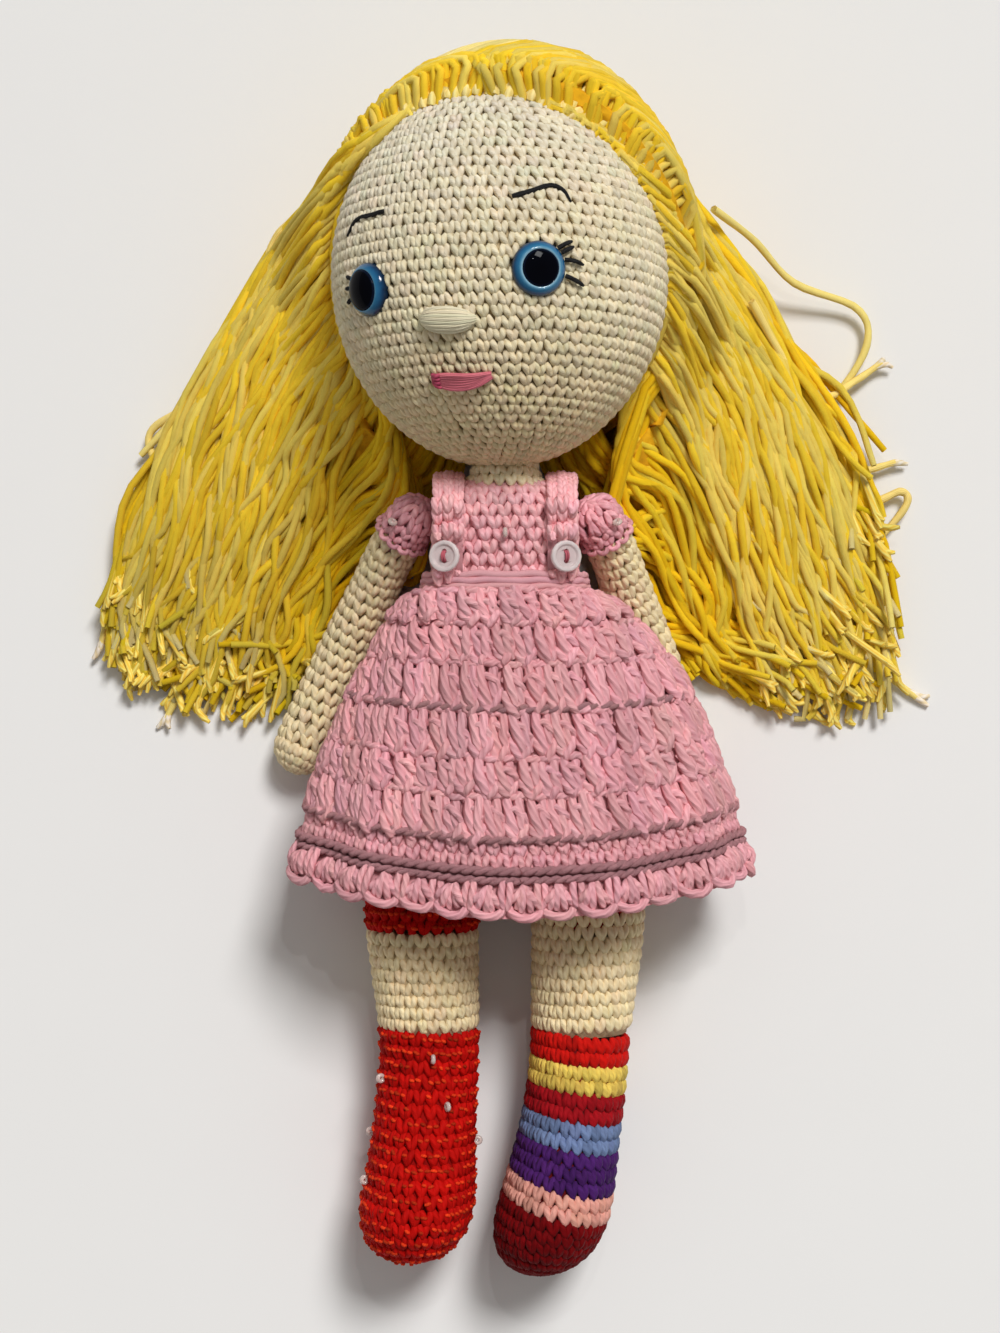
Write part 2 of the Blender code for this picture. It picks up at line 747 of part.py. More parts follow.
def make_arm(word, side, materials, pivot, shoulder):
    """One arm: the sleeve with the shoulder's ball, then the forearm and hand."""
    rows = arm_points(side)
    sleeve_end = way_length(rows) * sleeve_share
    spare = shoulder_radius / 4
    above = [row for i, row in enumerate(rows) if i and way_length(rows[: i + 1]) < sleeve_end - spare]
    below = [row for i, row in enumerate(rows) if way_length(rows[: i + 1]) > sleeve_end + spare]
    start = (rows[0][0] - rows[1][0]).normalized()
    upper = round_end(rows[0][0], start, shoulder_radius)
    upper += [(rows[0][0], shoulder_radius)] + above + [arm_place(rows, sleeve_end)]
    points, radii = zip(*upper)
    sleeve = add_piece(word + "_sleeve", tube(points, radii, limb_segments), materials["pink_yarn"], pivot)
    beside = loft_along_y(torso_stations(seam_gap), body_segments, torso_squareness)
    press = add_cutter(f"cut_{word}_sleeve_side", beside)
    cut(press, shoulder)
    cut(sleeve, press)

    end = (rows[-1][0] - rows[-2][0]).normalized()
    lower = [arm_place(rows, sleeve_end + seam_gap)] + below
    lower += reversed(round_end(rows[-1][0], end, hand_radius))
    points, radii = zip(*lower)
    add_piece(word + "_arm", tube(points, radii, limb_segments), materials["skin_yarn"], pivot)


def make_leg(word, side, materials, pivot, floor):
    """One leg: the underpants' leg with the hip's ball, the bare leg, then the boot or the sock."""
    stations = leg_stations(side)
    top_end = hip_pivot_y - leg_top_end
    skin_end = hip_pivot_y - leg_skin_end
    hip = Vector((side * hip_pivot_x, hip_pivot_y, hip_pivot_z))
    dome = [
        (place.y, place.x, place.z, radius, radius)
        for place, radius in round_end(hip, Vector((0.0, 1.0, 0.0)), leg_top_radius)
    ]
    upper = dome + cut_stations(stations, hip_pivot_y, top_end)
    add_piece(word + "_pants_leg", loft_along_y(upper, limb_segments), materials["red_yarn"], pivot)
    middle = cut_stations(stations, top_end - seam_gap, skin_end)
    add_piece(word + "_leg", loft_along_y(middle, limb_segments), materials["skin_yarn"], pivot)
    lower = cut_stations(stations, skin_end - seam_gap, stations[-1][0])
    name, slot = ("right_boot", "red_yarn") if side < 0 else ("left_sock", "sock_yarn")
    foot = add_piece(name, loft_along_y(lower, limb_segments), materials[slot], pivot)
    cut(foot, floor)


def make_waistband(materials):
    """The band that carries the skirt, round the torso."""
    bm = bmesh.new()
    bottom = waist_y - waistband_height
    stations = torso_stations(seam_gap)
    rings = []
    outer = waistband_thickness
    for y, grow in ((waist_y, 0.0), (waist_y, outer), (bottom, outer), (bottom, 0.0)):
        _, x, z, half_width, half_depth = section_at(stations, y)
        half = (half_width + grow, half_depth + grow)
        rings.append(add_ring(bm, across_y(x, y, z), *half, body_segments, torso_squareness))
    join_rings(bm, rings, closed=True)
    return add_piece("waistband", bm, materials["dress_yarn"])


def skirt_ring(bm, row, shrink, hem):
    """One ring of the skirt's inner or outer face, with the folds growing towards the hem."""
    way, wide, deep, level, lean, front_squareness, back_squareness = row
    start_y = waist_y - waistband_height - seam_gap
    top = section_at(torso_stations(seam_gap + waistband_thickness), start_y)
    _, _, top_z, top_half_width, top_half_depth = top
    half_width = top_half_width + (skirt_half_width - top_half_width) * wide - shrink
    half_depth = top_half_depth + (skirt_half_depth - top_half_depth) * deep - shrink
    hem_z = skirt_half_depth - flat_depth
    middle_z = top_z + (hem_z - top_z) * level
    ring = bmesh.ops.create_circle(bm, cap_ends=False, segments=skirt_segments, radius=1.0)
    for vertex in ring["verts"]:
        angle = math.atan2(vertex.co.y, vertex.co.x)
        power = 2.0 / (front_squareness if vertex.co.y > 0.0 else back_squareness)
        across = math.copysign(abs(vertex.co.x) ** power, vertex.co.x)
        up = math.copysign(abs(vertex.co.y) ** power, vertex.co.y)
        fold = fold_height * way * math.cos(fold_count * angle)
        length = skirt_length * (1.0 - skirt_side_lift_share * across * across) * way
        if hem:
            length += scallop_height * math.cos(skirt_segments / 2 * angle)
        vertex.co = Vector(
            (
                skirt_lean * lean + across * (half_width + fold),
                start_y - length,
                middle_z + up * (half_depth + fold),
            )
        )
    return ring["verts"]


def make_skirt(materials, floor):
    """The bell skirt: an outer and an inner face joined at the waist and at the scalloped hem."""
    bm = bmesh.new()
    hem = len(skirt_shares) - 1
    rows = [(row, 0.0, i == hem) for i, row in enumerate(skirt_shares)]
    rows += [(row, skirt_thickness, i == hem) for i, row in reversed(list(enumerate(skirt_shares)))]
    rings = [skirt_ring(bm, row, shrink, last) for row, shrink, last in rows]
    join_rings(bm, rings, closed=True)
    skirt = add_piece("skirt", bm, materials["dress_yarn"])
    cut(skirt, floor)
    return skirt


def make_strap(word, side, materials, shoulder_cutters):
    """One strap: a band laid over the shoulder, from the waistband's front edge to its back edge."""
    outer = seam_gap + strap_thickness
    strap = add_piece(
        word + "_strap",
        loft_along_y(torso_stations(outer), body_segments, torso_squareness),
        materials["dress_yarn"],
    )
    inner_x, outer_x = strap_centre_x - strap_width / 2, strap_centre_x + strap_width / 2
    low_x, high_x = sorted((side * inner_x, side * outer_x))
    top = torso_top_y + outer + cut_overrun
    high_z = torso_top_z + torso_half_depth * 2
    slab = block(Vector((low_x, waist_y + seam_gap, 0.0)), Vector((high_x, top, high_z)))
    cut(strap, add_cutter(f"cut_{word}_strap_slab", slab), "INTERSECT")
    inner = loft_along_y(torso_stations(seam_gap), body_segments, torso_squareness)
    cut(strap, add_cutter(f"cut_{word}_strap_inner", inner))
    cut(strap, shoulder_cutters[word])


def strap_face(side):
    """The place on a strap's front where its button is tied, and the way the button faces."""
    y = waist_y + button_drop
    _, x, z, half_width, half_depth = section_at(torso_stations(seam_gap + strap_thickness), y)
    share = strap_centre_x / half_width
    height = half_depth * (1.0 - share**torso_squareness) ** (1.0 / torso_squareness)
    place = Vector((side * strap_centre_x, y, z + height))
    tilt = math.radians(button_tilt_deg)
    return place, Vector((side * math.sin(tilt), 0.0, math.cos(tilt)))


def make_button(word, side, materials):
    """One dished button with two holes, on the loop of thread that ties it to the strap."""
    place, normal = strap_face(side)
    stand = seam_gap * 2 + thread_radius * 2
    lean = button_radius * math.tan(math.radians(button_tilt_deg)) * button_lean_share
    bottom = stand + lean
    top = bottom + button_thickness
    dish = top - button_dish_depth
    inner = button_radius - button_rim_width
    profile = [(button_radius * wide, bottom + button_thickness * high) for wide, high in button_rim_shares]
    profile += [(inner, top), (inner * button_dish_share, dish)]
    shape = turned(profile, place, normal, small_segments)
    button = add_piece(word + "_button", shape, materials["button_plastic"])
    across = Vector((0.0, 1.0, 0.0))
    bm = bmesh.new()
    for way in (-1.0, 1.0):
        middle = place + across * way * button_hole_offset
        ends = [middle + normal * (bottom - cut_overrun / 4), middle + normal * (top + cut_overrun / 4)]
        add_tube(bm, ends, [button_hole_radius] * 2, small_segments // 2)
    cut(button, add_cutter(f"cut_{word}_button_holes", bm))
    reach = button_hole_offset
    low = bottom - seam_gap - thread_radius
    high = dish + seam_gap + thread_radius
    heights = (low, (low + high) / 2, high)
    corners = [(-reach, height) for height in heights] + [(reach, height) for height in reversed(heights)]
    route = [place + across * way + normal * height for way, height in corners]
    loop = tube(route, [thread_radius] * len(route), thread_segments, closed=True)
    add_piece(word + "_button_thread", loop, materials["pink_thread"])


def hairline_normal():
    """The way that the hairline's plane faces: to the face's front and down towards the chin."""
    yaw, pitch = math.radians(hairline_yaw_deg), math.radians(hairline_pitch_deg)
    return Vector((math.sin(yaw) * math.cos(pitch), -math.sin(pitch), math.cos(yaw) * math.cos(pitch)))


def hair_shell(grow=0.0):
    """The egg that the hair fills round the skull, set back from the face."""
    radii = (
        head_half_width + hair_side_thickness + grow,
        head_half_depth + hair_back_thickness + grow,
        head_half_height + hair_top_thickness + grow,
    )
    centre = head_centre + Vector((hair_shift_side, 0.0, -hair_shift_back))
    return ball(centre, radii, head_segments, Matrix.Rotation(quarter_turn, 3, "X"))


def make_hair_cap(materials, pivots, clear, floor):
    """The hair that hugs the skull behind the hairline, one closed solid of its outer shape."""
    cap = add_piece("hair_cap", hair_shell(), materials["hair_yarn"], pivots["head"])
    normal = hairline_normal()
    reach = head_half_height * 2
    front = block(Vector((-reach, -reach, 0.0)), Vector((reach, reach, reach)))
    facing = normal.to_track_quat("Z", "Y").to_matrix().to_4x4()
    placement = Matrix.Translation(head_centre - normal * hairline_offset) @ facing
    bmesh.ops.transform(front, matrix=placement, verts=front.verts[:])
    cut(cap, add_cutter("cut_hair_front", front))
    cut(cap, clear)
    cut(cap, floor)


def make_fall(word, shares, materials, pivots, floor):
    """One side's fall of loose hair, fanned out on the surface: a closed solid of its outer shape."""
    bm = bmesh.new()
    rings = []
    for inner_x, inner_y, outer_x, outer_y, thickness in shares:
        inner = Vector((inner_x, inner_y, 0.0)) * hair_reach
        outer = Vector((outer_x, outer_y, 0.0)) * hair_reach
        half_height = thickness * hair_reach / 2
        across = (outer - inner) / 2
        sideways = across.normalized()
        upright = Vector((0.0, 0.0, 1.0))
        placement = Matrix((sideways, upright, sideways.cross(upright))).transposed().to_4x4()
        placement.translation = inner + across + upright * (half_height - flat_depth)
        rings.append(add_ring(bm, placement, across.length, half_height, hair_segments))
    join_rings(bm, rings)
    fall = add_piece(f"{word}_hair_fall", bm, materials["hair_yarn"], pivots["head"])
    cut(fall, floor)
    cut(fall, add_cutter(f"cut_{word}_fall_cap", hair_shell(seam_gap)))


def add_bead(name, place, normal, along, materials, pivot):
    """A round bead threaded flat on the yarn: a small ring whose hole runs along the row."""
    middle = place + normal * (bead_radius + seam_gap)
    sideways = along.normalized()
    upright = sideways.cross(normal).normalized()
    route = []
    for i in range(bead_facets):
        angle = math.tau * i / bead_facets
        reach = bead_radius - bead_tube_radius
        route.append(middle + normal * reach * math.cos(angle) + upright * reach * math.sin(angle))
    bm = tube(route, [bead_tube_radius] * bead_facets, thread_segments, closed=True)
    add_piece(name, bm, materials["bead_plastic"], pivot)


def make_beads(materials, pivots, boot_stations):
    across = Vector((1.0, 0.0, 0.0))
    length = leg_end - leg_skin_end
    for i, (way, turn) in enumerate(boot_bead_shares):
        y = hip_pivot_y - leg_skin_end - length * way
        _, x, z, half_width, half_depth = section_at(boot_stations, y)
        angle = math.tau * turn
        place = Vector((x + half_width * math.sin(angle), y, z + half_depth * math.cos(angle)))
        normal = Vector((math.sin(angle) / half_width, 0.0, math.cos(angle) / half_depth)).normalized()
        along = Vector((normal.z, 0.0, -normal.x))
        add_bead(f"boot_bead_{i + 1}", place, normal, along, materials, pivots["right_leg"])
    y = waist_y + (torso_top_y - waist_y) * bodice_bead_share
    _, x, z, half_width, half_depth = section_at(torso_stations(), y)
    add_bead("bodice_bead", Vector((x, y, z + half_depth)), Vector((0.0, 0.0, 1.0)), across, materials, None)
    for word, side in sides:
        rows = arm_points(side)
        place, radius = arm_place(rows, way_length(rows) * sleeve_share * sleeve_bead_share)
        normal = Vector((side, 0.0, sleeve_bead_rise_share)).normalized()
        along = (rows[1][0] - rows[0][0]).normalized()
        normal = (normal - along * normal.dot(along)).normalized()
        place += normal * radius
        add_bead(f"{word}_sleeve_bead", place, normal, along, materials, pivots[word + "_arm"])


def way_length(rows):
    """The length of an arm's way through its points."""
    return sum((second[0] - first[0]).length for first, second in zip(rows, rows[1:]))


def make_doll():
    remove_everything()
    materials = make_materials()
    pivots = make_pivots()
    floor = make_floor_cutter()
    make_head(materials, pivots)
    clear = make_face(materials, pivots)
    for word, side in sides:
        make_eye(word, side, materials, pivots["head"])
    make_neck(materials, pivots)
    shoulder_cutters = make_torso(materials)
    make_waistband(materials)
    make_skirt(materials, floor)
    for word, side in sides:
        make_strap(word, side, materials, shoulder_cutters)
        make_button(word, side, materials)
        make_arm(word, side, materials, pivots[word + "_arm"], shoulder_cutters[word])
        make_leg(word, side, materials, pivots[word + "_leg"], floor)
    make_hair_cap(materials, pivots, clear, floor)
    make_fall("right", right_fall_shares, materials, pivots, floor)
    make_fall("left", left_fall_shares, materials, pivots, floor)
    make_beads(materials, pivots, leg_stations(-1.0))


make_doll()
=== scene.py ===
import math

import bmesh
import bpy
import numpy as np
from mathutils import Matrix, Vector


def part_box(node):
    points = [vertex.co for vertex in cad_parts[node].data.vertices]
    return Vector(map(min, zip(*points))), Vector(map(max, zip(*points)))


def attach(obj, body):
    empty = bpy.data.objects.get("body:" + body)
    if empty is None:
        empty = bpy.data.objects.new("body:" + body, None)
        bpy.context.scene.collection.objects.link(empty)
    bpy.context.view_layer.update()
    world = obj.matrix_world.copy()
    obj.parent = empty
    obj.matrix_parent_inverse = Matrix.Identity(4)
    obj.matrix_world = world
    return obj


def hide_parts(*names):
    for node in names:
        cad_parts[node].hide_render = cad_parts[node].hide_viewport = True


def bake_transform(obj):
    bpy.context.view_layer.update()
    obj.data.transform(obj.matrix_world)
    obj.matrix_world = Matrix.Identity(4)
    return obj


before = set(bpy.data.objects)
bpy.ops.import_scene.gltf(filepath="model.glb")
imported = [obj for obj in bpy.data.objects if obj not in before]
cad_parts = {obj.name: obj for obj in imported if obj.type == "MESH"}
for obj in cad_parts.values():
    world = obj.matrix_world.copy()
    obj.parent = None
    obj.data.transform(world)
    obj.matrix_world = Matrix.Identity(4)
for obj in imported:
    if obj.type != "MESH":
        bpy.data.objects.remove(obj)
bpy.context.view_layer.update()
mm = 0.001
dice = np.random.default_rng(11)
whole = 2 * math.pi
print("frame loaded:", len(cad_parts), "nodes")


# camera, light and floor
shot = {
    "eye": (-1.2, 2.0, 560.0),  # straight above the lying doll, mm
    "lens": 2205 * 36 / 1333,
    "lamps": (  # name, place (mm), width (mm), watts
        ("softbox", (1500, 3150, 4450), 1500, 262.0),
        ("spark", (40, 330, 720), 14, 0.3),
    ),
    "airColour": (1.0, 0.985, 0.96),
    "air": 0.29,
    "floorTone": (0.80, 0.79, 0.775),
}


def placeCamera():
    data = bpy.data.cameras.new("camera")
    data.sensor_width = 36
    data.lens = shot["lens"]
    data.clip_start = 0.01
    camera = bpy.data.objects.new("camera", data)
    camera.location = [v * mm for v in shot["eye"]]
    bpy.context.scene.collection.objects.link(camera)
    bpy.context.scene.camera = camera


def placeLamp(name, place, width, watts, aim=(0, 0, 20)):
    data = bpy.data.lights.new(name, "AREA")
    data.size = width * mm
    data.energy = watts
    lamp = bpy.data.objects.new(name, data)
    lamp.location = [v * mm for v in place]
    look = Vector(aim) - Vector(place)
    lamp.rotation_euler = look.to_track_quat("-Z", "Y").to_euler()
    bpy.context.scene.collection.objects.link(lamp)


placeCamera()
for lamp in shot["lamps"]:
    placeLamp(*lamp)
bpy.context.scene.view_settings.view_transform = "Standard"


world = bpy.data.worlds.new("studio")
bpy.context.scene.world = world
world.use_nodes = True
background = world.node_tree.nodes["Background"]
background.inputs["Strength"].default_value = shot["air"]
background.inputs["Color"].default_value = (*shot["airColour"], 1)


# colours and finishes
def tone(red, green, blue):
    # a screen colour, 0 to 255, as the linear values that the shaders take
    return tuple((v / 255 / 12.92) if v <= 10 else ((v / 255 + 0.055) / 1.055) ** 2.4 for v in (red, green, blue))


def newMaterial(name, roughness=0.8):
    made = bpy.data.materials.new(name)
    made.use_nodes = True
    nodes, links = made.node_tree.nodes, made.node_tree.links
    shader = nodes["Principled BSDF"]
    shader.inputs["Roughness"].default_value = roughness
    return made, nodes, links, shader


def mathNode(nodes, links, kind, first, second=None, third=None, clamp=False):
    node = nodes.new("ShaderNodeMath")
    node.operation = kind
    node.use_clamp = clamp
    for slot, value in enumerate((first, second, third)):
        if value is None:
            continue
        if isinstance(value, (int, float)):
            node.inputs[slot].default_value = value
        else:
            links.new(value, node.inputs[slot])
    return node.outputs[0]


def mixColour(nodes, links, kind, share, first, second):
    node = nodes.new("ShaderNodeMix")
    node.data_type = "RGBA"
    node.blend_type = kind
    for socket, value in (("Factor", share), ("A", first), ("B", second)):
        if isinstance(value, (int, float)):
            node.inputs[socket].default_value = value
        elif isinstance(value, tuple):
            node.inputs[socket].default_value = (*value, 1)
        else:
            links.new(value, node.inputs[socket])
    return node.outputs["Result"]


def noiseNode(nodes, links, where, scale, detail=3.0, rough=0.6):
    node = nodes.new("ShaderNodeTexNoise")
    node.inputs["Scale"].default_value = scale
    node.inputs["Detail"].default_value = detail
    node.inputs["Roughness"].default_value = rough
    links.new(where, node.inputs["Vector"])
    return node.outputs["Fac"]


def yarnFinish(name, look):
    # plied yarn: the ply lines turn round the strand's own UV map, fibres and tone come from noise
    made, nodes, links, shader = newMaterial(name)
    where = nodes.new("ShaderNodeTexCoord").outputs["Object"]
    mapped = nodes.new("ShaderNodeUVMap")
    mapped.uv_map = "UVMap"
    parts = nodes.new("ShaderNodeSeparateXYZ")
    links.new(mapped.outputs["UV"], parts.inputs[0])
    around = mathNode(nodes, links, "MULTIPLY", parts.outputs["X"], float(look["plies"]))
    along = mathNode(nodes, links, "MULTIPLY", parts.outputs["Y"], 1 / look["pitch"])
    turn = mathNode(nodes, links, "ADD", around, along)
    wave = mathNode(nodes, links, "SINE", mathNode(nodes, links, "MULTIPLY", turn, whole))
    ply = mathNode(nodes, links, "MULTIPLY_ADD", wave, 0.5, 0.5)
    fineTurn = mathNode(nodes, links, "MULTIPLY", turn, whole * 4)
    fibre = mathNode(nodes, links, "MULTIPLY_ADD", mathNode(nodes, links, "SINE", fineTurn), 0.5, 0.5)
    fuzz = noiseNode(nodes, links, where, 2600.0, 4.0, 0.7)
    patch = noiseNode(nodes, links, where, 420.0, 2.0, 0.5)
    # painted shade: the grooves between the plies, and the fibres' fuzz, darken the yarn from its light colour towards
    # its deep one
    depth = mathNode(nodes, links, "MULTIPLY_ADD", ply, look["plyShade"], 1 - look["plyShade"], clamp=True)
    depth = mathNode(nodes, links, "MULTIPLY", depth, mathNode(nodes, links, "MULTIPLY_ADD", fuzz, 0.5, 0.72),
                     clamp=True)
    colour = mixColour(nodes, links, "MIX", depth, look["deep"], look["light"])
    painted = nodes.new("ShaderNodeVertexColor")
    painted.layer_name = "yarnColour"
    colour = mixColour(nodes, links, "MULTIPLY", 1.0, colour, painted.outputs["Color"])
    grey = mathNode(nodes, links, "MULTIPLY_ADD", patch, 0.22, 0.89)
    colour = mixColour(nodes, links, "MULTIPLY", 1.0, colour, grey)
    links.new(colour, shader.inputs["Base Color"])
    rough = mathNode(nodes, links, "MULTIPLY_ADD", fuzz, 0.25, look["rough"], clamp=True)
    links.new(rough, shader.inputs["Roughness"])
    shader.inputs["Sheen Weight"].default_value = look["sheen"]
    shader.inputs["Sheen Roughness"].default_value = 0.5
    shader.inputs["Sheen Tint"].default_value = (*look["light"], 1)
    shader.inputs["Specular IOR Level"].default_value = look["shine"]
    relief = mathNode(nodes, links, "ADD", mathNode(nodes, links, "MULTIPLY", ply, 0.75),
                      mathNode(nodes, links, "MULTIPLY", fibre, 0.16))
    relief = mathNode(nodes, links, "ADD", relief, mathNode(nodes, links, "MULTIPLY", fuzz, look["fluff"]))
    bump = nodes.new("ShaderNodeBump")
    bump.inputs["Strength"].default_value = look["relief"]
    bump.inputs["Distance"].default_value = 0.3 * mm
    links.new(relief, bump.inputs["Height"])
    links.new(bump.outputs["Normal"], shader.inputs["Normal"])
    return made


def gapShadeFinish(name, look):
    # the imported wool under the stitches, in painted shade: the same yarn's colours darkened as it looks in the gaps
    # between the stitches
    made, nodes, links, shader = newMaterial(name)
    where = nodes.new("ShaderNodeTexCoord").outputs["Object"]
    fuzz = noiseNode(nodes, links, where, 1500.0, 4.0, 0.7)
    loop = nodes.new("ShaderNodeTexVoronoi")
    loop.inputs["Scale"].default_value = 420.0
    links.new(where, loop.inputs["Vector"])
    share = mathNode(nodes, links, "MULTIPLY_ADD", fuzz, 0.8, loop.outputs["Distance"], clamp=True)
    links.new(mixColour(nodes, links, "MIX", share, look["deep"], look["light"]), shader.inputs["Base Color"])
    links.new(mathNode(nodes, links, "MULTIPLY_ADD", fuzz, 0.15, 0.8), shader.inputs["Roughness"])
    shader.inputs["Specular IOR Level"].default_value = 0.15
    bump = nodes.new("ShaderNodeBump")
    bump.inputs["Strength"].default_value = 0.6
    bump.inputs["Distance"].default_value = 0.4 * mm
    links.new(share, bump.inputs["Height"])
    links.new(bump.outputs["Normal"], shader.inputs["Normal"])
    return made


def yarnLook(light, deep, **changes):
    look = {"light": light, "deep": deep, "pitch": 1.6, "plies": 2, "plyShade": 0.45, "sheen": 0.15,
            "rough": 0.62, "shine": 0.3, "relief": 0.5, "fluff": 0.25}
    look.update(changes)
    return look


# each yarn as a light colour and a deep one; the deep colour is painted shade for the grooves between the plies
yarnColours = {
    "skin": (tone(228, 217, 187), tone(200, 180, 140)),
    "pink": (tone(240, 182, 186), tone(196, 128, 132)),
    "red": (tone(188, 14, 8), tone(150, 4, 2)),
    "sock": (tone(255, 255, 255), tone(190, 180, 180)),
    "hair": (tone(255, 229, 88), tone(250, 184, 4)),
    "blackThread": (tone(16, 15, 17), tone(4, 4, 5)),
    "mouthThread": (tone(216, 118, 130), tone(140, 44, 60)),
    "noseThread": (tone(232, 224, 192), tone(206, 192, 154)),
    "pinkThread": (tone(220, 140, 150), tone(160, 70, 86)),
}
finishes = {kind: yarnFinish(kind + "Yarn", yarnLook(*pair)) for kind, pair in yarnColours.items()}
for kind in ("red", "sock"):
    finishes[kind] = yarnFinish(kind + "YarnDeep", yarnLook(*yarnColours[kind], sheen=0.02, shine=0.08, plyShade=0.3))
finishes["hair"] = yarnFinish("hairYarnStrand",
                              yarnLook(*yarnColours["hair"], pitch=3.0, plyShade=0.7, rough=0.55, shine=0.2,
                                       sheen=0.04, relief=0.4, fluff=0.14))
finishes["paleHair"] = yarnFinish("paleHairYarn",
                                  yarnLook(tone(250, 232, 158), tone(228, 192, 84), pitch=3.0, plyShade=0.6,
                                           rough=0.6, shine=0.15, sheen=0.04, relief=0.4, fluff=0.14))
finishes["dress"] = yarnFinish("dressYarn",
                               yarnLook(tone(231, 170, 175), tone(188, 120, 126), pitch=2.3, plies=3, plyShade=0.42,
                                        relief=0.8, fluff=0.4, shine=0.1))
# painted shade: darker copies of each yarn for the forms that show through the gaps between stitches and strands
under = {
    "skin": gapShadeFinish("skinUnder", {"light": tone(198, 178, 140), "deep": tone(146, 120, 80)}),
    "pink": gapShadeFinish("pinkUnder", {"light": tone(222, 156, 161), "deep": tone(190, 124, 129)}),
    "red": gapShadeFinish("redUnder", {"light": tone(150, 6, 3), "deep": tone(104, 2, 0)}),
    "sock": gapShadeFinish("sockUnder", {"light": tone(110, 14, 18), "deep": tone(60, 4, 10)}),
    "hair": gapShadeFinish("hairUnder", {"light": tone(224, 166, 26), "deep": tone(176, 118, 10)}),
}
print("finishes ready")


# drawing yarn
def asObject(name, mesh):
    made = bpy.data.objects.new(name, mesh)
    bpy.context.scene.collection.objects.link(made)
    return made


def runAlong(route):
    # how far along a route each of its points lies
    return np.concatenate(([0], np.cumsum(np.linalg.norm(np.diff(route, axis=0), axis=1))))


def yarnPiece(name, groups, finish, body):
    # groups: (paths n x points x 3 in mm, thickness in mm, radius shares along a path, colours n x 3 or n x points x 3)
    meshes = []
    for paths, thickness, swell, colours in groups:
        if len(paths) == 0:
            continue
        count, points = paths.shape[:2]
        paths = paths.copy()
        paths[..., 2] = np.maximum(paths[..., 2], thickness * 0.54)
        data = bpy.data.curves.new(name, "CURVE")
        data.dimensions = "3D"
        data.bevel_depth = thickness * mm / 2
        data.bevel_resolution = 1
        data.use_fill_caps = True
        filled = np.ones((count, points, 4), np.float32)
        filled[..., :3] = paths * mm
        for path in filled:
            spline = data.splines.new("POLY")
            spline.points.add(points - 1)
            spline.points.foreach_set("co", path.ravel())
            spline.points.foreach_set("radius", swell)
            spline.use_smooth = True
        line = asObject(name + "Line", data)
        graph = bpy.context.evaluated_depsgraph_get()
        mesh = bpy.data.meshes.new_from_object(line.evaluated_get(graph))
        bpy.data.objects.remove(line)
        bpy.data.curves.remove(data)
        # the end caps come first and in backward order, then the tubes in their own order
        shades = np.asarray(colours, np.float32)
        shades = np.broadcast_to(shades if shades.ndim == 3 else shades.reshape(-1, 1, 3), (count, points, 3))
        painted = np.ones((len(mesh.vertices), 4), np.float32)
        sides = len(mesh.vertices) // count // (points + 2)
        painted[:, :3] = np.concatenate((shades[::-1, -1].repeat(sides * 2, 0), shades.repeat(sides, 1).reshape(-1, 3)))
        layer = mesh.color_attributes.new("yarnColour", "FLOAT_COLOR", "POINT")
        layer.data.foreach_set("color", painted.ravel())
        length = np.linalg.norm(np.diff(paths, axis=1), axis=2).sum(1)
        uv = mesh.uv_layers.active.data
        flat = np.empty(len(uv) * 2, np.float32)
        uv.foreach_get("uv", flat)
        flat = flat.reshape(-1, 2)
        corners = (points - 1) * sides * 4
        tubes = flat[-count * corners:].reshape(count, corners, 2)
        tubes[..., 1] = tubes[..., 1] * length[:, None] + dice.random(count)[:, None] * 3
        uv.foreach_set("uv", flat.ravel())
        meshes.append(mesh)
    shape = bmesh.new()
    for mesh in meshes:
        shape.from_mesh(mesh)
        bpy.data.meshes.remove(mesh)
    joined = bpy.data.meshes.new(name)
    shape.to_mesh(joined)
    shape.free()
    for face in joined.polygons:
        face.use_smooth = True
    joined.materials.append(finish)
    made = asObject(name, joined)
    if body:
        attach(made, body)
    return made


def smoothPath(controls, points):
    # a rounded path through control points (n x k x 3), by Catmull and Rom's rule
    many = controls.shape[1]
    padded = np.concatenate((2 * controls[:, :1] - controls[:, 1:2], controls,
                             2 * controls[:, -1:] - controls[:, -2:-1]), 1)
    place = np.linspace(0, many - 1, points)
    part = np.minimum(place.astype(int), many - 2)
    t = (place - part)[None, :, None]
    a, b, c, d = (padded[:, part + k] for k in range(4))
    return 0.5 * (2 * b + (c - a) * t + (2 * a - 5 * b + 4 * c - d) * t ** 2 + (3 * b - a - 3 * c + d) * t ** 3)


def framesOn(surface, along, turn):
    # places, and across, up and out directions, on a surface(along, turn) in mm
    small = 1e-3
    place = surface(along, turn)
    across = surface(along, turn + small) - surface(along, turn - small)
    upward = surface(along - small * 10, turn) - surface(along + small * 10, turn)
    across /= np.maximum(np.linalg.norm(across, axis=-1, keepdims=True), 1e-9)
    outward = np.cross(across, upward)
    outward /= np.maximum(np.linalg.norm(outward, axis=-1, keepdims=True), 1e-9)
    upward = np.cross(outward, across)
    return place, across, upward, outward


def toWorld(frames, unit):
    # unit: points x 3 or n x points x 3, as (across, up, out) in mm
    place, across, upward, outward = frames
    unit = np.broadcast_to(unit, (len(place),) + unit.shape[-2:])
    return (place[:, None] + unit[..., :1] * across[:, None] + unit[..., 1:2] * upward[:, None]
            + unit[..., 2:] * outward[:, None])


# one single-crochet stitch: two yarn legs that meet in a V at the foot
leftLeg = np.array([(0.06, -0.56, -0.75), (-0.08, -0.36, -0.28), (-0.2, -0.03, -0.1), (-0.3, 0.28, -0.25),
                    (-0.36, 0.5, -0.75)])
rightLeg = leftLeg * (-1, 1, 1)
legSwell = (0.72, 1.0, 1.12, 1.08, 0.84)


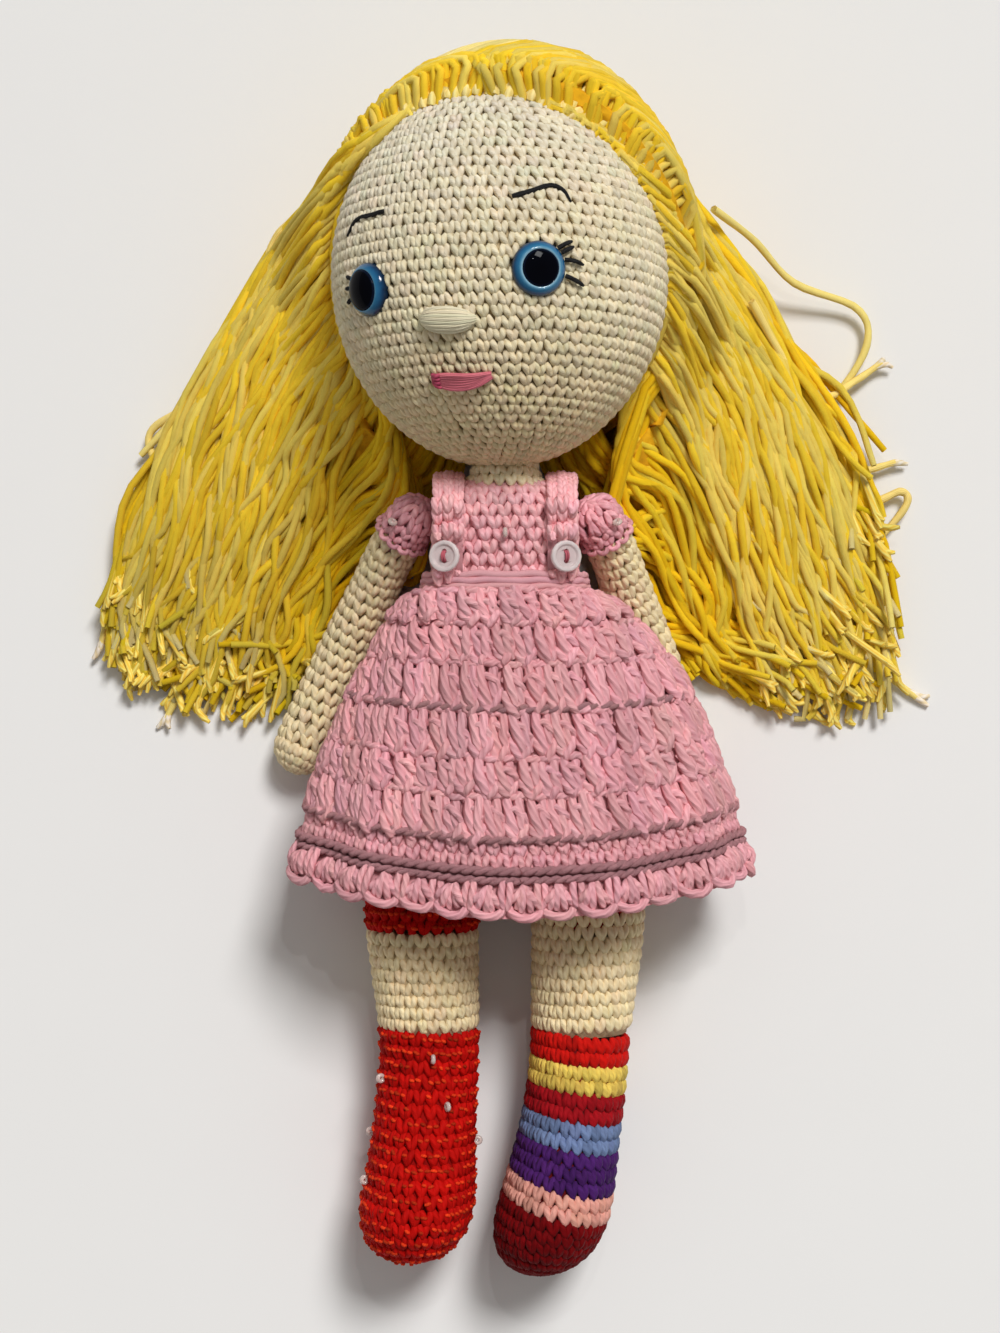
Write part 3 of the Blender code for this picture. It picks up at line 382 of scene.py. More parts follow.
def stitchGroups(frames, width, height, thickness, colours, lean=0.0, lift=0.0, bulge=1.0, wobble=0.05):
    count = len(frames[0])
    groups = []
    width = np.broadcast_to(width, (count,)).reshape(-1, 1)
    for leg in (leftLeg, rightLeg):
        unit = np.empty((count, len(leg), 3))
        jitter = dice.normal(0, wobble, (count, 3))
        unit[..., 0] = leg[:, 0] * width - lean * leg[:, 1] * height + jitter[:, :1] * width
        unit[..., 1] = leg[:, 1] * height * (1 + jitter[:, 1:2]) + jitter[:, 1:2] * height * 0.5
        unit[..., 2] = leg[:, 2] * bulge + lift - thickness * 0.28 + jitter[:, 2:] * 0.8
        groups.append((toWorld(frames, unit), thickness, legSwell, colours))
    return groups


def shadeOf(count, spread=0.07, colour=(1, 1, 1)):
    level = dice.normal(1, spread, (count, 1)).clip(0.75, 1.15)
    return np.asarray(colour)[None] * level * (1 + dice.normal(0, 0.015, (count, 3)))


# round forms: rows of stitches along a lofted surface
def tubeSurface(stations, square=2.0):
    # stations: (x, y, z, half wide, half deep); sections stand in the X-Z plane, the way runs down -Y
    table = np.array(stations, float)
    fine = smoothPath(table[None], 240)[0]
    step = np.linalg.norm(np.diff(fine[:, :3], axis=0), axis=1)
    slope = np.hypot(step, np.diff(fine[:, 3]))
    way = np.concatenate(([0], np.cumsum(slope)))

    def surface(along, turn):
        x, y, z, wide, deep = (np.interp(along, way, fine[:, k]) for k in range(5))
        power = 2 / square
        side, top = np.sin(turn), np.cos(turn)
        across = np.sign(side) * np.abs(side) ** power
        up = np.sign(top) * np.abs(top) ** power
        return np.stack((x + wide * across, y + 0 * turn, z + deep * up), -1)

    def around(along):
        wide, deep = (np.interp(along, way, fine[:, k]) for k in (3, 4))
        return np.pi * (3 * (wide + deep) - np.sqrt((3 * wide + deep) * (wide + 3 * deep)))

    surface.length = way[-1]
    surface.around = around
    return surface


def armSurface(points):
    # points: (x, y, z, radius) along the arm; sections stand across the way
    table = np.array(points, float)
    fine = smoothPath(table[None], 200)[0]
    way = runAlong(fine[:, :3])
    heading = np.gradient(fine[:, :3], axis=0)
    heading /= np.linalg.norm(heading, axis=1, keepdims=True)
    side = np.cross(heading, (0, 0, 1.0))
    side /= np.linalg.norm(side, axis=1, keepdims=True)
    up = np.cross(side, heading)

    def surface(along, turn):
        def pick(rows):
            return np.stack([np.interp(along, way, rows[:, k]) for k in range(3)], -1)
        radius = np.interp(along, way, fine[:, 3])[..., None]
        return pick(fine) + radius * (-pick(side) * np.sin(turn)[..., None] + pick(up) * np.cos(turn)[..., None])

    surface.length = way[-1]
    surface.around = lambda along: whole * np.interp(along, way, fine[:, 3])
    return surface


def ovalSurface(centre, halves):
    # an ellipsoid with its poles up and down Y; along runs from the crown to the chin
    steep = np.linspace(0, math.pi, 300)
    line = np.stack((np.sin(steep) * (halves[0] + halves[2]) / 2, np.cos(steep) * halves[1]), 1)
    way = runAlong(line)

    def surface(along, turn):
        slant = np.interp(along, way, steep)
        return np.stack((centre[0] + halves[0] * np.sin(slant) * np.sin(turn), centre[1] + halves[1] * np.cos(slant),
                         centre[2] + halves[2] * np.sin(slant) * np.cos(turn)), -1)

    surface.length = way[-1]
    surface.around = lambda along: whole * (halves[0] + halves[2]) / 2 * np.sin(np.interp(along, way, steep))
    return surface


def knitRows(surface, first, last, height, width, drift=0.37, even=False):
    # centres of the stitches of each round, as (along, turn, own width), worked as a spiral
    rounds = max(1, round((last - first) / height))
    step = (last - first) / rounds
    along, turn, wide = [], [], []
    for row in range(rounds):
        middle = first + (row + 0.5) * step
        fine = math.pi + np.linspace(0, whole, 361)
        run = np.cumsum(np.linalg.norm(np.diff(surface(np.full(361, middle), fine), axis=0), axis=1))
        round_ = run[-1]
        many = max(5, int(round((float(surface.around((first + last) / 2)) if even else round_) / width)))
        share = ((np.arange(many) + drift * row) / many) % 1.0
        along.append(middle + step * (share - 0.5) * (0 if even else 0.9))
        turn.append(np.interp(share * round_, np.concatenate(([0], run)), fine))
        wide.append(np.full(many, round_ / many))
    return np.concatenate(along), np.concatenate(turn), np.concatenate(wide), step


def innerForm(node, name, finish, inset):
    # the stuffed body under the stitches: the frame's own form, a yarn's depth in
    shape = bmesh.new()
    shape.from_mesh(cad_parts[node].data)
    bmesh.ops.remove_doubles(shape, verts=shape.verts, dist=0.02 * mm)
    bmesh.ops.recalc_face_normals(shape, faces=shape.faces)
    shape.normal_update()
    for vert in shape.verts:
        vert.co -= vert.normal * inset * mm
    for face in shape.faces:
        face.smooth = True
    mesh = bpy.data.meshes.new(name)
    shape.to_mesh(mesh)
    shape.free()
    mesh.materials.append(finish)
    return asObject(name, mesh)


def addForm(node, name, kind, body, inset=1.1):
    made = innerForm(node, name, under[kind], inset)
    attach(made, body)
    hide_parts(node)
    return made


# head
head = {
    "centre": (-1.2, 93.0, 47.0),
    "halves": (39.0, 44.5, 38.5),
    "rowHeight": 2.62,
    "stitchWidth": 2.95,
    "yarn": 1.5,
    "lean": 0.2,
    "faceTurn": -18.5,
    "hairlineYaw": -13.6,
    "hairlinePitch": 36.4,
    "hairlineBack": 4.9,
}


def hairlineNormal():
    yaw, pitch = math.radians(head["hairlineYaw"]), math.radians(head["hairlinePitch"])
    return np.array((math.sin(yaw) * math.cos(pitch), -math.sin(pitch), math.cos(yaw) * math.cos(pitch)))


def facePoint(azimuth, elevation, lift=0.0):
    az, el = math.radians(head["faceTurn"] + azimuth), math.radians(elevation)
    share = np.array((math.sin(az) * math.cos(el), math.sin(el), math.cos(az) * math.cos(el)))
    halves = np.array(head["halves"])
    normal = share / halves
    normal /= np.linalg.norm(normal)
    return np.array(head["centre"]) + share * halves + normal * lift, normal


def makeHead():
    surface = ovalSurface(head["centre"], head["halves"])
    along, turn, wide, step = knitRows(surface, 3.0, surface.length - 3.0, head["rowHeight"], head["stitchWidth"])
    spot = surface(along, turn)
    front = (spot - np.array(head["centre"])) @ hairlineNormal() > -head["hairlineBack"] - 5.5
    low = spot[:, 1] < head["centre"][1] - 6
    keep = front | low
    keep &= spot[:, 2] > 9.0
    # the eyes and the neck lie over these stitches
    for azimuth, elevation in ((31, -6.6), (-31, -9.8)):
        middle, _ = facePoint(azimuth, elevation)
        keep &= np.linalg.norm(spot - middle, axis=1) > 5.3
    along, turn, wide = along[keep], turn[keep], wide[keep]
    frames = framesOn(surface, along, turn)
    count = len(along)
    colours = shadeOf(count, 0.05)
    spot = frames[0]
    # painted light: the stitches are tinted cooler and paler towards the crown and the -X side, where a cool light
    # falls; painted shade: warmer and darker towards the chin
    pale = np.clip((spot[:, 1] - 92) / 40 - spot[:, 0] / 160, 0, 1)[:, None]
    colours *= (1 - pale) + pale * np.array((0.98, 1.02, 1.16))
    lower = np.clip((82 - spot[:, 1]) / 30, 0, 1)[:, None]
    colours *= 1 - lower * (0.05, 0.12, 0.26)
    groups = stitchGroups(frames, wide, step, head["yarn"], colours, lean=head["lean"])
    made = yarnPiece("head_stitches", groups, finishes["skin"], "head_part")
    addForm("head", "head_form", "skin", "head_part", 1.25)
    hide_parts("head")
    print("head stitches:", count)


makeHead()


def makeNeck():
    surface = tubeSurface([(0, 56, 42, 7.2, 7.2), (0, 51, 42, 7.4, 7.4), (0, 47.2, 42, 8.4, 7.9),
                           (0, 44.8, 41.6, 10.4, 8.6)])
    along, turn, wide, step = knitRows(surface, 0, surface.length, 2.6, 2.8)
    # painted light: the neck's yarn is tinted lighter and warmer, so that it looks as lit as the face though the chin
    # shades it
    made = yarnPiece("neck_stitches",
                     stitchGroups(framesOn(surface, along, turn), wide, step, 1.5,
                                  shadeOf(len(along), 0.05, (1.12, 1.08, 1.02))),
                     finishes["skin"], "neck_part")
    addForm("neck", "neck_form", "skin", "neck_part", 1.1)
    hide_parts("neck")


makeNeck()

# torso, arms and legs
torsoStations = [(0, 46.3, 40, 6.6, 5.6), (0, 44.82, 39.63, 11.62, 8.68), (0, 41.48, 38.89, 15.31, 11.76),
                 (0, 35.11, 37.48, 17.07, 13.44), (0, 22.38, 34.67, 17.6, 14.0)]
torsoAll = torsoStations + [(0, 4.96, 30.82, 17.6, 13.72), (0, -8.44, 27.86, 18.66, 13.58),
                            (0, -20.5, 25.19, 21.12, 13.72)]
hipsStations = [(0, -20.8, 25.13, 22.36, 13.78), (0, -26.35, 23.9, 27.09, 14.5), (0, -33.75, 22.27, 30.55, 14.5),
                (0, -39.3, 21.04, 31.5, 14.07)]
bodice = {"rowHeight": 3.0, "stitchWidth": 3.5, "yarn": 1.8}


def makeTorso():
    surface = tubeSurface(torsoStations, 3.0)
    along, turn, wide, step = knitRows(surface, 0.6, surface.length, bodice["rowHeight"], bodice["stitchWidth"],
                                       even=True)
    spot = surface(along, turn)
    near = spot[:, 2] > 24
    frames = framesOn(surface, along[near], turn[near])
    groups = stitchGroups(frames, wide[near], step, bodice["yarn"], shadeOf(near.sum(), 0.06), lean=0.05)
    made = yarnPiece("bodice_stitches", groups, finishes["pink"], "body")
    addForm("torso", "torso_form", "pink", "body", 1.2)
    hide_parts("torso")
    lower = tubeSurface(hipsStations, 3.0)
    along, turn, wide, step = knitRows(lower, 1, lower.length, 3.2, 3.2)
    frames = framesOn(lower, along, turn)
    groups = stitchGroups(frames, wide, step, 1.4, redShades(len(along))) + fleckGroups(frames, wide, step)
    made = yarnPiece("underpants_stitches", groups, finishes["red"], "body")
    addForm("underpants", "underpants_form", "red", "body", 1.2)
    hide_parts("underpants")


def redShades(count):
    return shadeOf(count, 0.08)


def fleckGroups(frames, wide, high):
    # the orange flecks of the red yarn: short thin strands that lie across a stitch's legs
    groups = []
    for side in (-1, 1):
        chosen = dice.random(len(frames[0])) < 0.62
        picked = [f[chosen] for f in frames]
        count = len(picked[0])
        middle = np.stack((side * 0.24 * wide[chosen], dice.normal(0.12, 0.06, count) * high), 1)
        reach = dice.normal(0.5, 0.12, (count, 1)).clip(0.25, 0.9)
        unit = np.empty((count, 4, 3))
        unit[..., 0] = middle[:, :1] + np.array((-1, -0.4, 0.4, 1)) * reach
        unit[..., 1] = middle[:, 1:] + np.array((0.2, 0.1, -0.1, -0.2)) * dice.normal(0.6, 0.6, (count, 1))
        unit[..., 2] = np.array((0.0, 0.3, 0.3, 0.0))
        colours = np.array((1.5, 11.0, 4.2)) * dice.normal(0.85, 0.25, (count, 1)).clip(0.35, 1.3)
        groups.append((toWorld(picked, unit), 0.85, (0.7, 1.0, 1.0, 0.7), colours))
    return groups


makeTorso()
arms = {
    "right": [(-22.0, 37.2, 33.0, 5.7), (-25.62, 32.5, 28.95, 5.7), (-29.32, 26.24, 23.39, 5.8),
              (-33.31, 18.4, 18.07, 6.0),
              (-39.59, 6.64, 12.25, 6.21), (-45.29, -5.12, 8.96, 6.4), (-48.99, -14.08, 7.7, 6.91),
              (-50.7, -18.0, 7.7, 6.78)],
    "left": [(22.0, 37.2, 33.0, 5.7), (24.86, 32.5, 28.95, 5.7), (27.75, 26.24, 23.39, 5.8), (30.86, 18.4, 18.07, 6.0),
             (35.74, 6.64, 12.25, 6.21), (40.18, -5.12, 8.96, 6.4), (43.07, -14.08, 7.7, 6.91),
             (44.4, -18.0, 7.7, 6.78)],
}
armMakeup = {"tint": (1.06, 1.0, 0.88), "rowHeight": 3.4, "stitchWidth": 3.4, "yarn": 1.8, "sleeveEnd": 0.07}


sleeveTint = (0.94, 0.86, 0.9)


def capRows(centre, heading, radius, rounds, width, lead=0.0):
    # stitches over a rounded end, as frames; the pole lies along heading
    heading = np.asarray(heading, float) / np.linalg.norm(heading)
    side = np.cross(heading, (0, 0, 1.0))
    side /= np.linalg.norm(side)
    up = np.cross(side, heading)
    places, across, upward, outward, wides = [], [], [], [], []
    for row in range(rounds):
        steep = lead + (math.pi / 2 - lead) * (row + 0.5) / rounds
        ring = radius * math.cos(steep)
        many = max(4, round(whole * ring / width))
        turn = (np.arange(many) + 0.37 * row) / many * whole
        flat = -side * np.sin(turn)[:, None] + up * np.cos(turn)[:, None]
        out = flat * math.cos(steep) + heading * math.sin(steep)
        places.append(centre + out * radius)
        outward.append(out)
        upward.append(flat * math.sin(steep) - heading * math.cos(steep))
        across.append(np.cross(upward[-1], out))
        wides.append(np.full(many, whole * ring / many))
    return (np.concatenate(places), np.concatenate(across), np.concatenate(upward),
            np.concatenate(outward)), np.concatenate(wides)


def makeArms():
    for side, points in arms.items():
        surface = armSurface(points)
        end = surface.length
        split = end * armMakeup["sleeveEnd"]
        part = side + "_arm_part"
        along, turn, wide, step = knitRows(surface, split + 0.5, end, armMakeup["rowHeight"],
                                           armMakeup["stitchWidth"], even=True)
        frames = framesOn(surface, along, turn)
        keep = frames[0][:, 2] > 0.9
        groups = stitchGroups([f[keep] for f in frames], wide[keep], step, armMakeup["yarn"],
                              shadeOf(keep.sum(), 0.05, armMakeup["tint"]), lean=0.1)
        last = np.array(points[-1])
        heading = last[:3] - np.array(points[-2])[:3]
        frames, wide = capRows(last[:3], heading, last[3] + 0.1, 4, 2.7)
        keep = frames[0][:, 2] > 0.9
        groups += stitchGroups([f[keep] for f in frames], wide[keep], 2.6, armMakeup["yarn"],
                               shadeOf(keep.sum(), 0.05, armMakeup["tint"]))
        made = yarnPiece(side + "_arm_stitches", groups, finishes["skin"], part)
        addForm(side + "_arm", side + "_arm_form", "skin", part, 1.9)
        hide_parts(side + "_arm")
        along, turn, wide, step = knitRows(surface, 0.2, split - 0.2, 2.5, 3.2, even=True)
        frames = framesOn(surface, along, turn)
        groups = stitchGroups(frames, wide, step, 1.6, shadeOf(len(along), 0.13, sleeveTint), lift=0.4, wobble=0.12)
        frames, wide = capRows(np.array(points[0])[:3], np.array(points[0])[:3] - np.array(points[1])[:3], 5.9, 3, 3.1)
        groups += stitchGroups(frames, wide, 3.2, 1.6, shadeOf(len(wide), 0.13, sleeveTint), lift=0.2, wobble=0.12)
        # the sleeve's edge: small loops that stand out round the arm
        many = 13
        turn = np.arange(many) / many * whole
        frames = framesOn(surface, np.full(many, split - 0.2), turn)
        bend = np.linspace(-0.25, math.pi + 0.25, 7)
        loop = np.stack((np.cos(bend) * 1.2, -0.3 - np.sin(bend) * 0.6, 0.2 + np.sin(bend) * 0.8), 1)
        groups.append((toWorld(frames, loop), 1.4, (0.9,) * 7, shadeOf(many, 0.1, sleeveTint)))
        made = yarnPiece(side + "_sleeve_stitches", groups, finishes["pink"], part)
        addForm(side + "_sleeve", side + "_sleeve_form", "pink", part, 2.3)
        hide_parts(side + "_sleeve")


makeArms()
legs = {
    "right": [(-20.3, -44.0, 20.0, 13.7, 13.7), (-20.3, -62.0, 18.37, 13.7, 13.7), (-18.65, -88.5, 16.85, 12.1, 12.1),
              (-19.11, -101.15, 16.72, 12.13, 12.25), (-19.87, -112.65, 16.96, 12.53, 14.69),
              (-20.74, -123.0, 17.43, 13.38, 18.17),
              (-21.5, -129.4, 18.0, 13.8, 19.3), (-22.0, -134.4, 18.3, 13.1, 18.2), (-22.5, -138.4, 18.6, 11.2, 15.2),
              (-22.8, -141.3, 18.9, 8.0, 10.6), (-23.0, -143.0, 19.0, 3.9, 5.0), (-23.1, -143.4, 19.0, 0.5, 0.6)],
    "left": [(20.3, -44.0, 20.0, 13.7, 13.7), (20.3, -62.0, 18.37, 13.7, 13.7), (18.65, -88.5, 16.85, 12.1, 12.1),
             (17.57, -101.15, 16.72, 12.13, 12.25), (15.79, -112.65, 16.96, 12.53, 14.69),
             (13.77, -123.0, 17.43, 13.38, 18.17),
             (12.0, -131.0, 18.0, 13.9, 19.5), (10.7, -136.4, 18.3, 13.3, 18.6), (9.6, -140.8, 18.6, 11.5, 15.6),
             (8.8, -144.0, 18.9, 8.2, 11.0), (8.2, -145.9, 19.0, 4.0, 5.2), (8.1, -146.3, 19.0, 0.5, 0.6)],
}
legMakeup = {"tint": (1.13, 1.04, 0.9), "rowHeight": 3.1, "stitchWidth": 3.1, "yarn": 1.62,
             "bareFrom": {"right": -62.3, "left": -57.0}, "bootFrom": -86.4}
sockStripes = (  # where a stripe ends at the inner edge (y, mm), and its yarn
    (-93.2, tone(196, 20, 12)), (-99.2, tone(226, 196, 92)), (-107.3, tone(156, 14, 24)), (-113.7, tone(110, 128, 166)),
    (-121.2, tone(72, 30, 98)), (-127.9, tone(222, 158, 142)), (-170.0, tone(112, 2, 6)),
)


def sockColour(height):
    # the stripe that a row lies in
    level = np.searchsorted([-s[0] for s in sockStripes], -height)
    return np.array([s[1] for s in sockStripes])[level]


def roundToe(form, stations):
    # keeps the stuffed foot a yarn's depth inside the stitches round the toe
    table = np.array(stations)[::-1]
    for vert in form.data.vertices:
        x, y, z = (v / mm for v in vert.co)
        midX, midZ, wide, deep = (np.interp(y - 1.2, table[:, 1], table[:, k]) for k in (0, 2, 3, 4))
        out = math.hypot((x - midX) / max(wide - 1.1, 0.3), (z - midZ) / max(deep - 1.1, 0.3))
        if y < -127 and out > 1:
            vert.co.x = (midX + (x - midX) / out) * mm
            vert.co.z = (midZ + (z - midZ) / out) * mm


def makeLegs():
    for side, stations in legs.items():
        surface = tubeSurface(stations)
        part = side + "_leg_part"
        steps = np.linspace(0, surface.length, 400)
        level = surface(steps, np.zeros(400))[:, 1]
        bare, boot = (float(np.interp(-y, -level, steps)) for y in (legMakeup["bareFrom"][side], legMakeup["bootFrom"]))

        def rows(first, last, height, width, even):
            along, turn, wide, step = knitRows(surface, first, last, height, width, even=even)
            frames = framesOn(surface, along, turn)
            keep = frames[0][:, 2] > 0.8
            return [f[keep] for f in frames], wide[keep], step

        frames, wide, step = rows(0.5, bare - 0.2, 3.2, 3.2, True)
        groups = stitchGroups(frames, wide, step, 1.65, redShades(len(wide))) + fleckGroups(frames, wide, step)
        made = yarnPiece(side + "_pants_stitches", groups, finishes["red"], part)
        addForm(side + "_pants_leg", side + "_pants_form", "red", part)
        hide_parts(side + "_pants_leg")
        frames, wide, step = rows(bare + 0.2, boot - 0.1, legMakeup["rowHeight"], legMakeup["stitchWidth"], True)
        groups = stitchGroups(frames, wide, step, legMakeup["yarn"], shadeOf(len(wide), 0.05, legMakeup["tint"]),
                              lean=0.06)
        made = yarnPiece(side + "_leg_stitches", groups, finishes["skin"], part)
        addForm(side + "_leg", side + "_leg_form", "skin", part)
        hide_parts(side + "_leg")
        along, turn, wide, step = knitRows(surface, boot + 0.2, surface.length, 3.5 if side == "right" else 3.3, 3.2,
                                           even=side == "left")
        height = np.interp(along, steps, level)
        if side == "left":  # the sock's rows slant down towards the outer side, more so near the toe
            slant = np.interp(height, (-127, -88), (0.27, 0.10))
            inside = np.clip((surface.length - along) / 22, 0, 1)
            along = along + slant * inside * (surface(along, turn)[:, 0] - 7.0)
        frames = framesOn(surface, along, turn)
        keep = frames[0][:, 2] > 0.8
        frames, wide, height = [f[keep] for f in frames], wide[keep], height[keep]
        if side == "right":
            colours = redShades(len(wide))
            groups = stitchGroups(frames, wide, step, 1.72, colours) + fleckGroups(frames, wide, step)
            made = yarnPiece("right_boot_stitches", groups, finishes["red"], part)
            roundToe(addForm("right_boot", "right_boot_form", "red", part), stations)
            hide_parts("right_boot")
        else:
            colours = shadeOf(len(wide), 0.13) * sockColour(height)
            groups = stitchGroups(frames, wide, step, 1.72, colours)
            made = yarnPiece("left_sock_stitches", groups, finishes["sock"], part)
            roundToe(addForm("left_sock", "left_sock_form", "sock", part), stations)
            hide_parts("left_sock")


makeLegs()
print("body worked")

# skirt
skirt = {
    "startY": 19.8, "length": 79.0, "top": (17.6, 14.0, 34.1), "grow": 2.8, "wide": 55.5, "deep": 27.8, "level": 27.3,
    "shift": 3.3, "fold": 1.1, "shorten": 0.11,
    "rows": ((0, 0, 0, 0, 0, 3, 3), (.05, .14, .14, .2, .3, 2.8, 2.8), (.12, .27, .27, .4, .7, 2.5, 2.2),
             (.28, .5, .52, .66, 1, 2.2, 1.7), (.5, .71, .72, .84, 1, 2.1, 1.85), (.75, .88, .88, .95, 1, 2, 2.5),
             (.92, .965, .965, 1, 1, 2, 2.7), (1, 1, 1, 1, 1, 2, 2.8)),
    "bands": (0.0, 0.095, 0.209, 0.349, 0.487, 0.597, 0.729, 0.82),
    "strong": (0.349, 0.729, 0.82),
    "pitch": 4.8,
    "yarn": 1.12,
}
skirtTable = np.array(skirt["rows"])


def skirtSurface(way, turn, lift=0.0):
    way = np.asarray(way, float)
    wide, deep, level, lean, frontSquare, backSquare = (np.interp(way, skirtTable[:, 0],
                                                                  skirtTable[:, k]) for k in range(1, 7))
    topWide, topDeep, topZ = skirt["top"]
    halfWide = topWide + skirt["grow"] + (skirt["wide"] - topWide - skirt["grow"]) * wide
    halfDeep = topDeep + skirt["grow"] + (skirt["deep"] - topDeep - skirt["grow"]) * deep
    middle = topZ + (skirt["level"] - topZ) * level
    side, front = np.sin(turn), np.cos(turn)
    power = 2 / np.where(front > 0, frontSquare, backSquare)
    across = np.sign(side) * np.abs(side) ** power
    up = np.sign(front) * np.abs(front) ** power
    fold = skirt["fold"] * way * np.cos(11 * (math.pi / 2 - turn)) + lift
    length = skirt["length"] * (1 - skirt["shorten"] * across ** 2) * way
    return np.stack((skirt["shift"] * lean + across * (halfWide + fold), skirt["startY"] - length,
                     np.maximum(middle + up * (halfDeep + fold), 0.9 + 0 * up)), -1)


def skirtFrames(way, turn):
    small = 1e-3
    place = skirtSurface(way, turn)
    across = skirtSurface(way, turn + small) - skirtSurface(way, turn - small)
    upward = skirtSurface(way - small, turn) - skirtSurface(way + small, turn)
    across /= np.linalg.norm(across, axis=-1, keepdims=True)
    outward = np.cross(across, upward)
    outward /= np.linalg.norm(outward, axis=-1, keepdims=True)
    return place, across, np.cross(outward, across), outward


def evenTurns(way, many, offset=0.0):
    # turns that share the ring at this way into equal lengths
    fine = np.linspace(0, whole, 721)
    ring = skirtSurface(np.full(721, way), fine)
    run = runAlong(ring)
    share = ((np.arange(many) + offset) / many) % 1.0
    return np.interp(share * run[-1], run, fine), run[-1] / many


def twistedCord(way, lift, thickness, pitch, colours, strands=2):
    # two yarns laid round each other along the ring
    fine = 360
    turns, _ = evenTurns(way, fine)
    frames = skirtFrames(np.full(fine, way), turns)
    ringLength = evenTurns(way, 1)[1]
    rounds = max(1, round(ringLength / pitch))
    paths = []
    for strand in range(strands):
        phase = (np.arange(fine + 1) / fine * rounds + strand / strands) * whole
        index = np.arange(fine + 1) % fine
        place = (frames[0][index] + frames[2][index] * np.sin(phase)[:, None] * thickness * 0.36
                 + frames[3][index] * (lift + np.cos(phase) * thickness * 0.36)[:, None])
        paths.append(place)
    return [(np.array(paths), thickness, (1.0,) * (fine + 1), colours[:strands])]


def tallStitch(wide, high):
    # one double-crochet stitch: strands of the post that lean over, a foot of slanting yarn and a rounded head
    strands = [
        (2.6, ((-0.36, 0.5, -0.6), (-0.36, 0.22, 0.3), (-0.22, -0.06, 0.55), (-0.02, -0.3, 0.4), (0.12, -0.5, -0.4))),
        (2.5, ((0.12, 0.52, -0.6), (0.15, 0.22, 0.4), (0.15, -0.04, 0.4), (0.26, -0.28, 0.2), (0.4, -0.5, -0.5))),
        (1.9, ((-0.5, 0.08, -0.6), (-0.22, 0.19, 0.65), (0.1, 0.12, 0.9), (0.36, -0.03, 0.5), (0.52, -0.14, -0.5))),
        (2.1, ((-0.52, -0.1, -0.6), (-0.42, -0.27, 0.2), (-0.22, -0.43, 0.55), (0.0, -0.55, 0.3), (0.06, -0.62, -0.5))),
        (2.1, ((0.52, -0.1, -0.6), (0.42, -0.26, 0.25), (0.24, -0.42, 0.6), (0.08, -0.55, 0.35), (0.02, -0.62, -0.4))),
        (1.9, ((-0.54, 0.36, -0.6), (-0.26, 0.46, 0.15), (0.0, 0.43, 0.35), (0.28, 0.47, 0.2), (0.52, 0.36, -0.6))),
    ]
    scale = (wide, high, 1)
    return [(thick, smoothPath(np.array(strand)[None] * scale, 7)[0]) for thick, strand in strands]


def skirtCloth():
    # the cloth behind the stitches
    shape = bmesh.new()
    around, down = 120, 44
    bmesh.ops.create_grid(shape, x_segments=around, y_segments=down, size=0.5)
    for vert in shape.verts:
        way = 0.004 + (0.5 - vert.co.y) * 0.955
        place = skirtSurface(np.array([way]), np.array([math.pi + (vert.co.x + 0.5) * whole]), -1.0)[0]
        vert.co = Vector(place * mm)
    bmesh.ops.remove_doubles(shape, verts=shape.verts, dist=0.05 * mm)
    bmesh.ops.recalc_face_normals(shape, faces=shape.faces)
    for face in shape.faces:
        face.smooth = True
    mesh = bpy.data.meshes.new("skirt_cloth")
    shape.to_mesh(mesh)
    shape.free()
    mesh.materials.append(under["pink"])
    cloth = asObject("skirt_cloth", mesh)
    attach(cloth, "body")
    return cloth


def skirtBand(top, foot, number):
    middle = (top + foot) / 2
    high = (foot - top) * skirt["length"]
    ring = evenTurns(middle, 1)[1]
    if high < 7.5:  # a low row of single crochet
        groups = []
        many = int(ring / 3.3)
        for row in (0.27, 0.73):
            at = top + (foot - top) * row
            turns, wide = evenTurns(at, many, 0.5 * row)
            frames = skirtFrames(np.full(many, at), turns)
            groups += stitchGroups(frames, wide, high * 0.54, 1.65, shadeOf(many, 0.06))
        return groups
    many = int(ring / skirt["pitch"])
    turns, wide = evenTurns(middle, many, 0.37 * number)
    frames = skirtFrames(np.full(many, middle), turns)
    groups = []
    body = dice.normal(0, 0.35, (many, 1, 3)) * (1, 0.6, 0.3)
    tint = shadeOf(many, 0.06)
    for thick, unit in tallStitch(wide, high):
        bent = unit[None] + body + dice.normal(0, 0.2, (many, 1, 3)) + dice.normal(0, 0.14, (many,) + unit.shape)
        groups.append((toWorld(frames, bent), thick, (0.8, 0.95, 1, 1.05, 1, 0.95, 0.8), tint * shadeOf(many, 0.05)))
    return groups


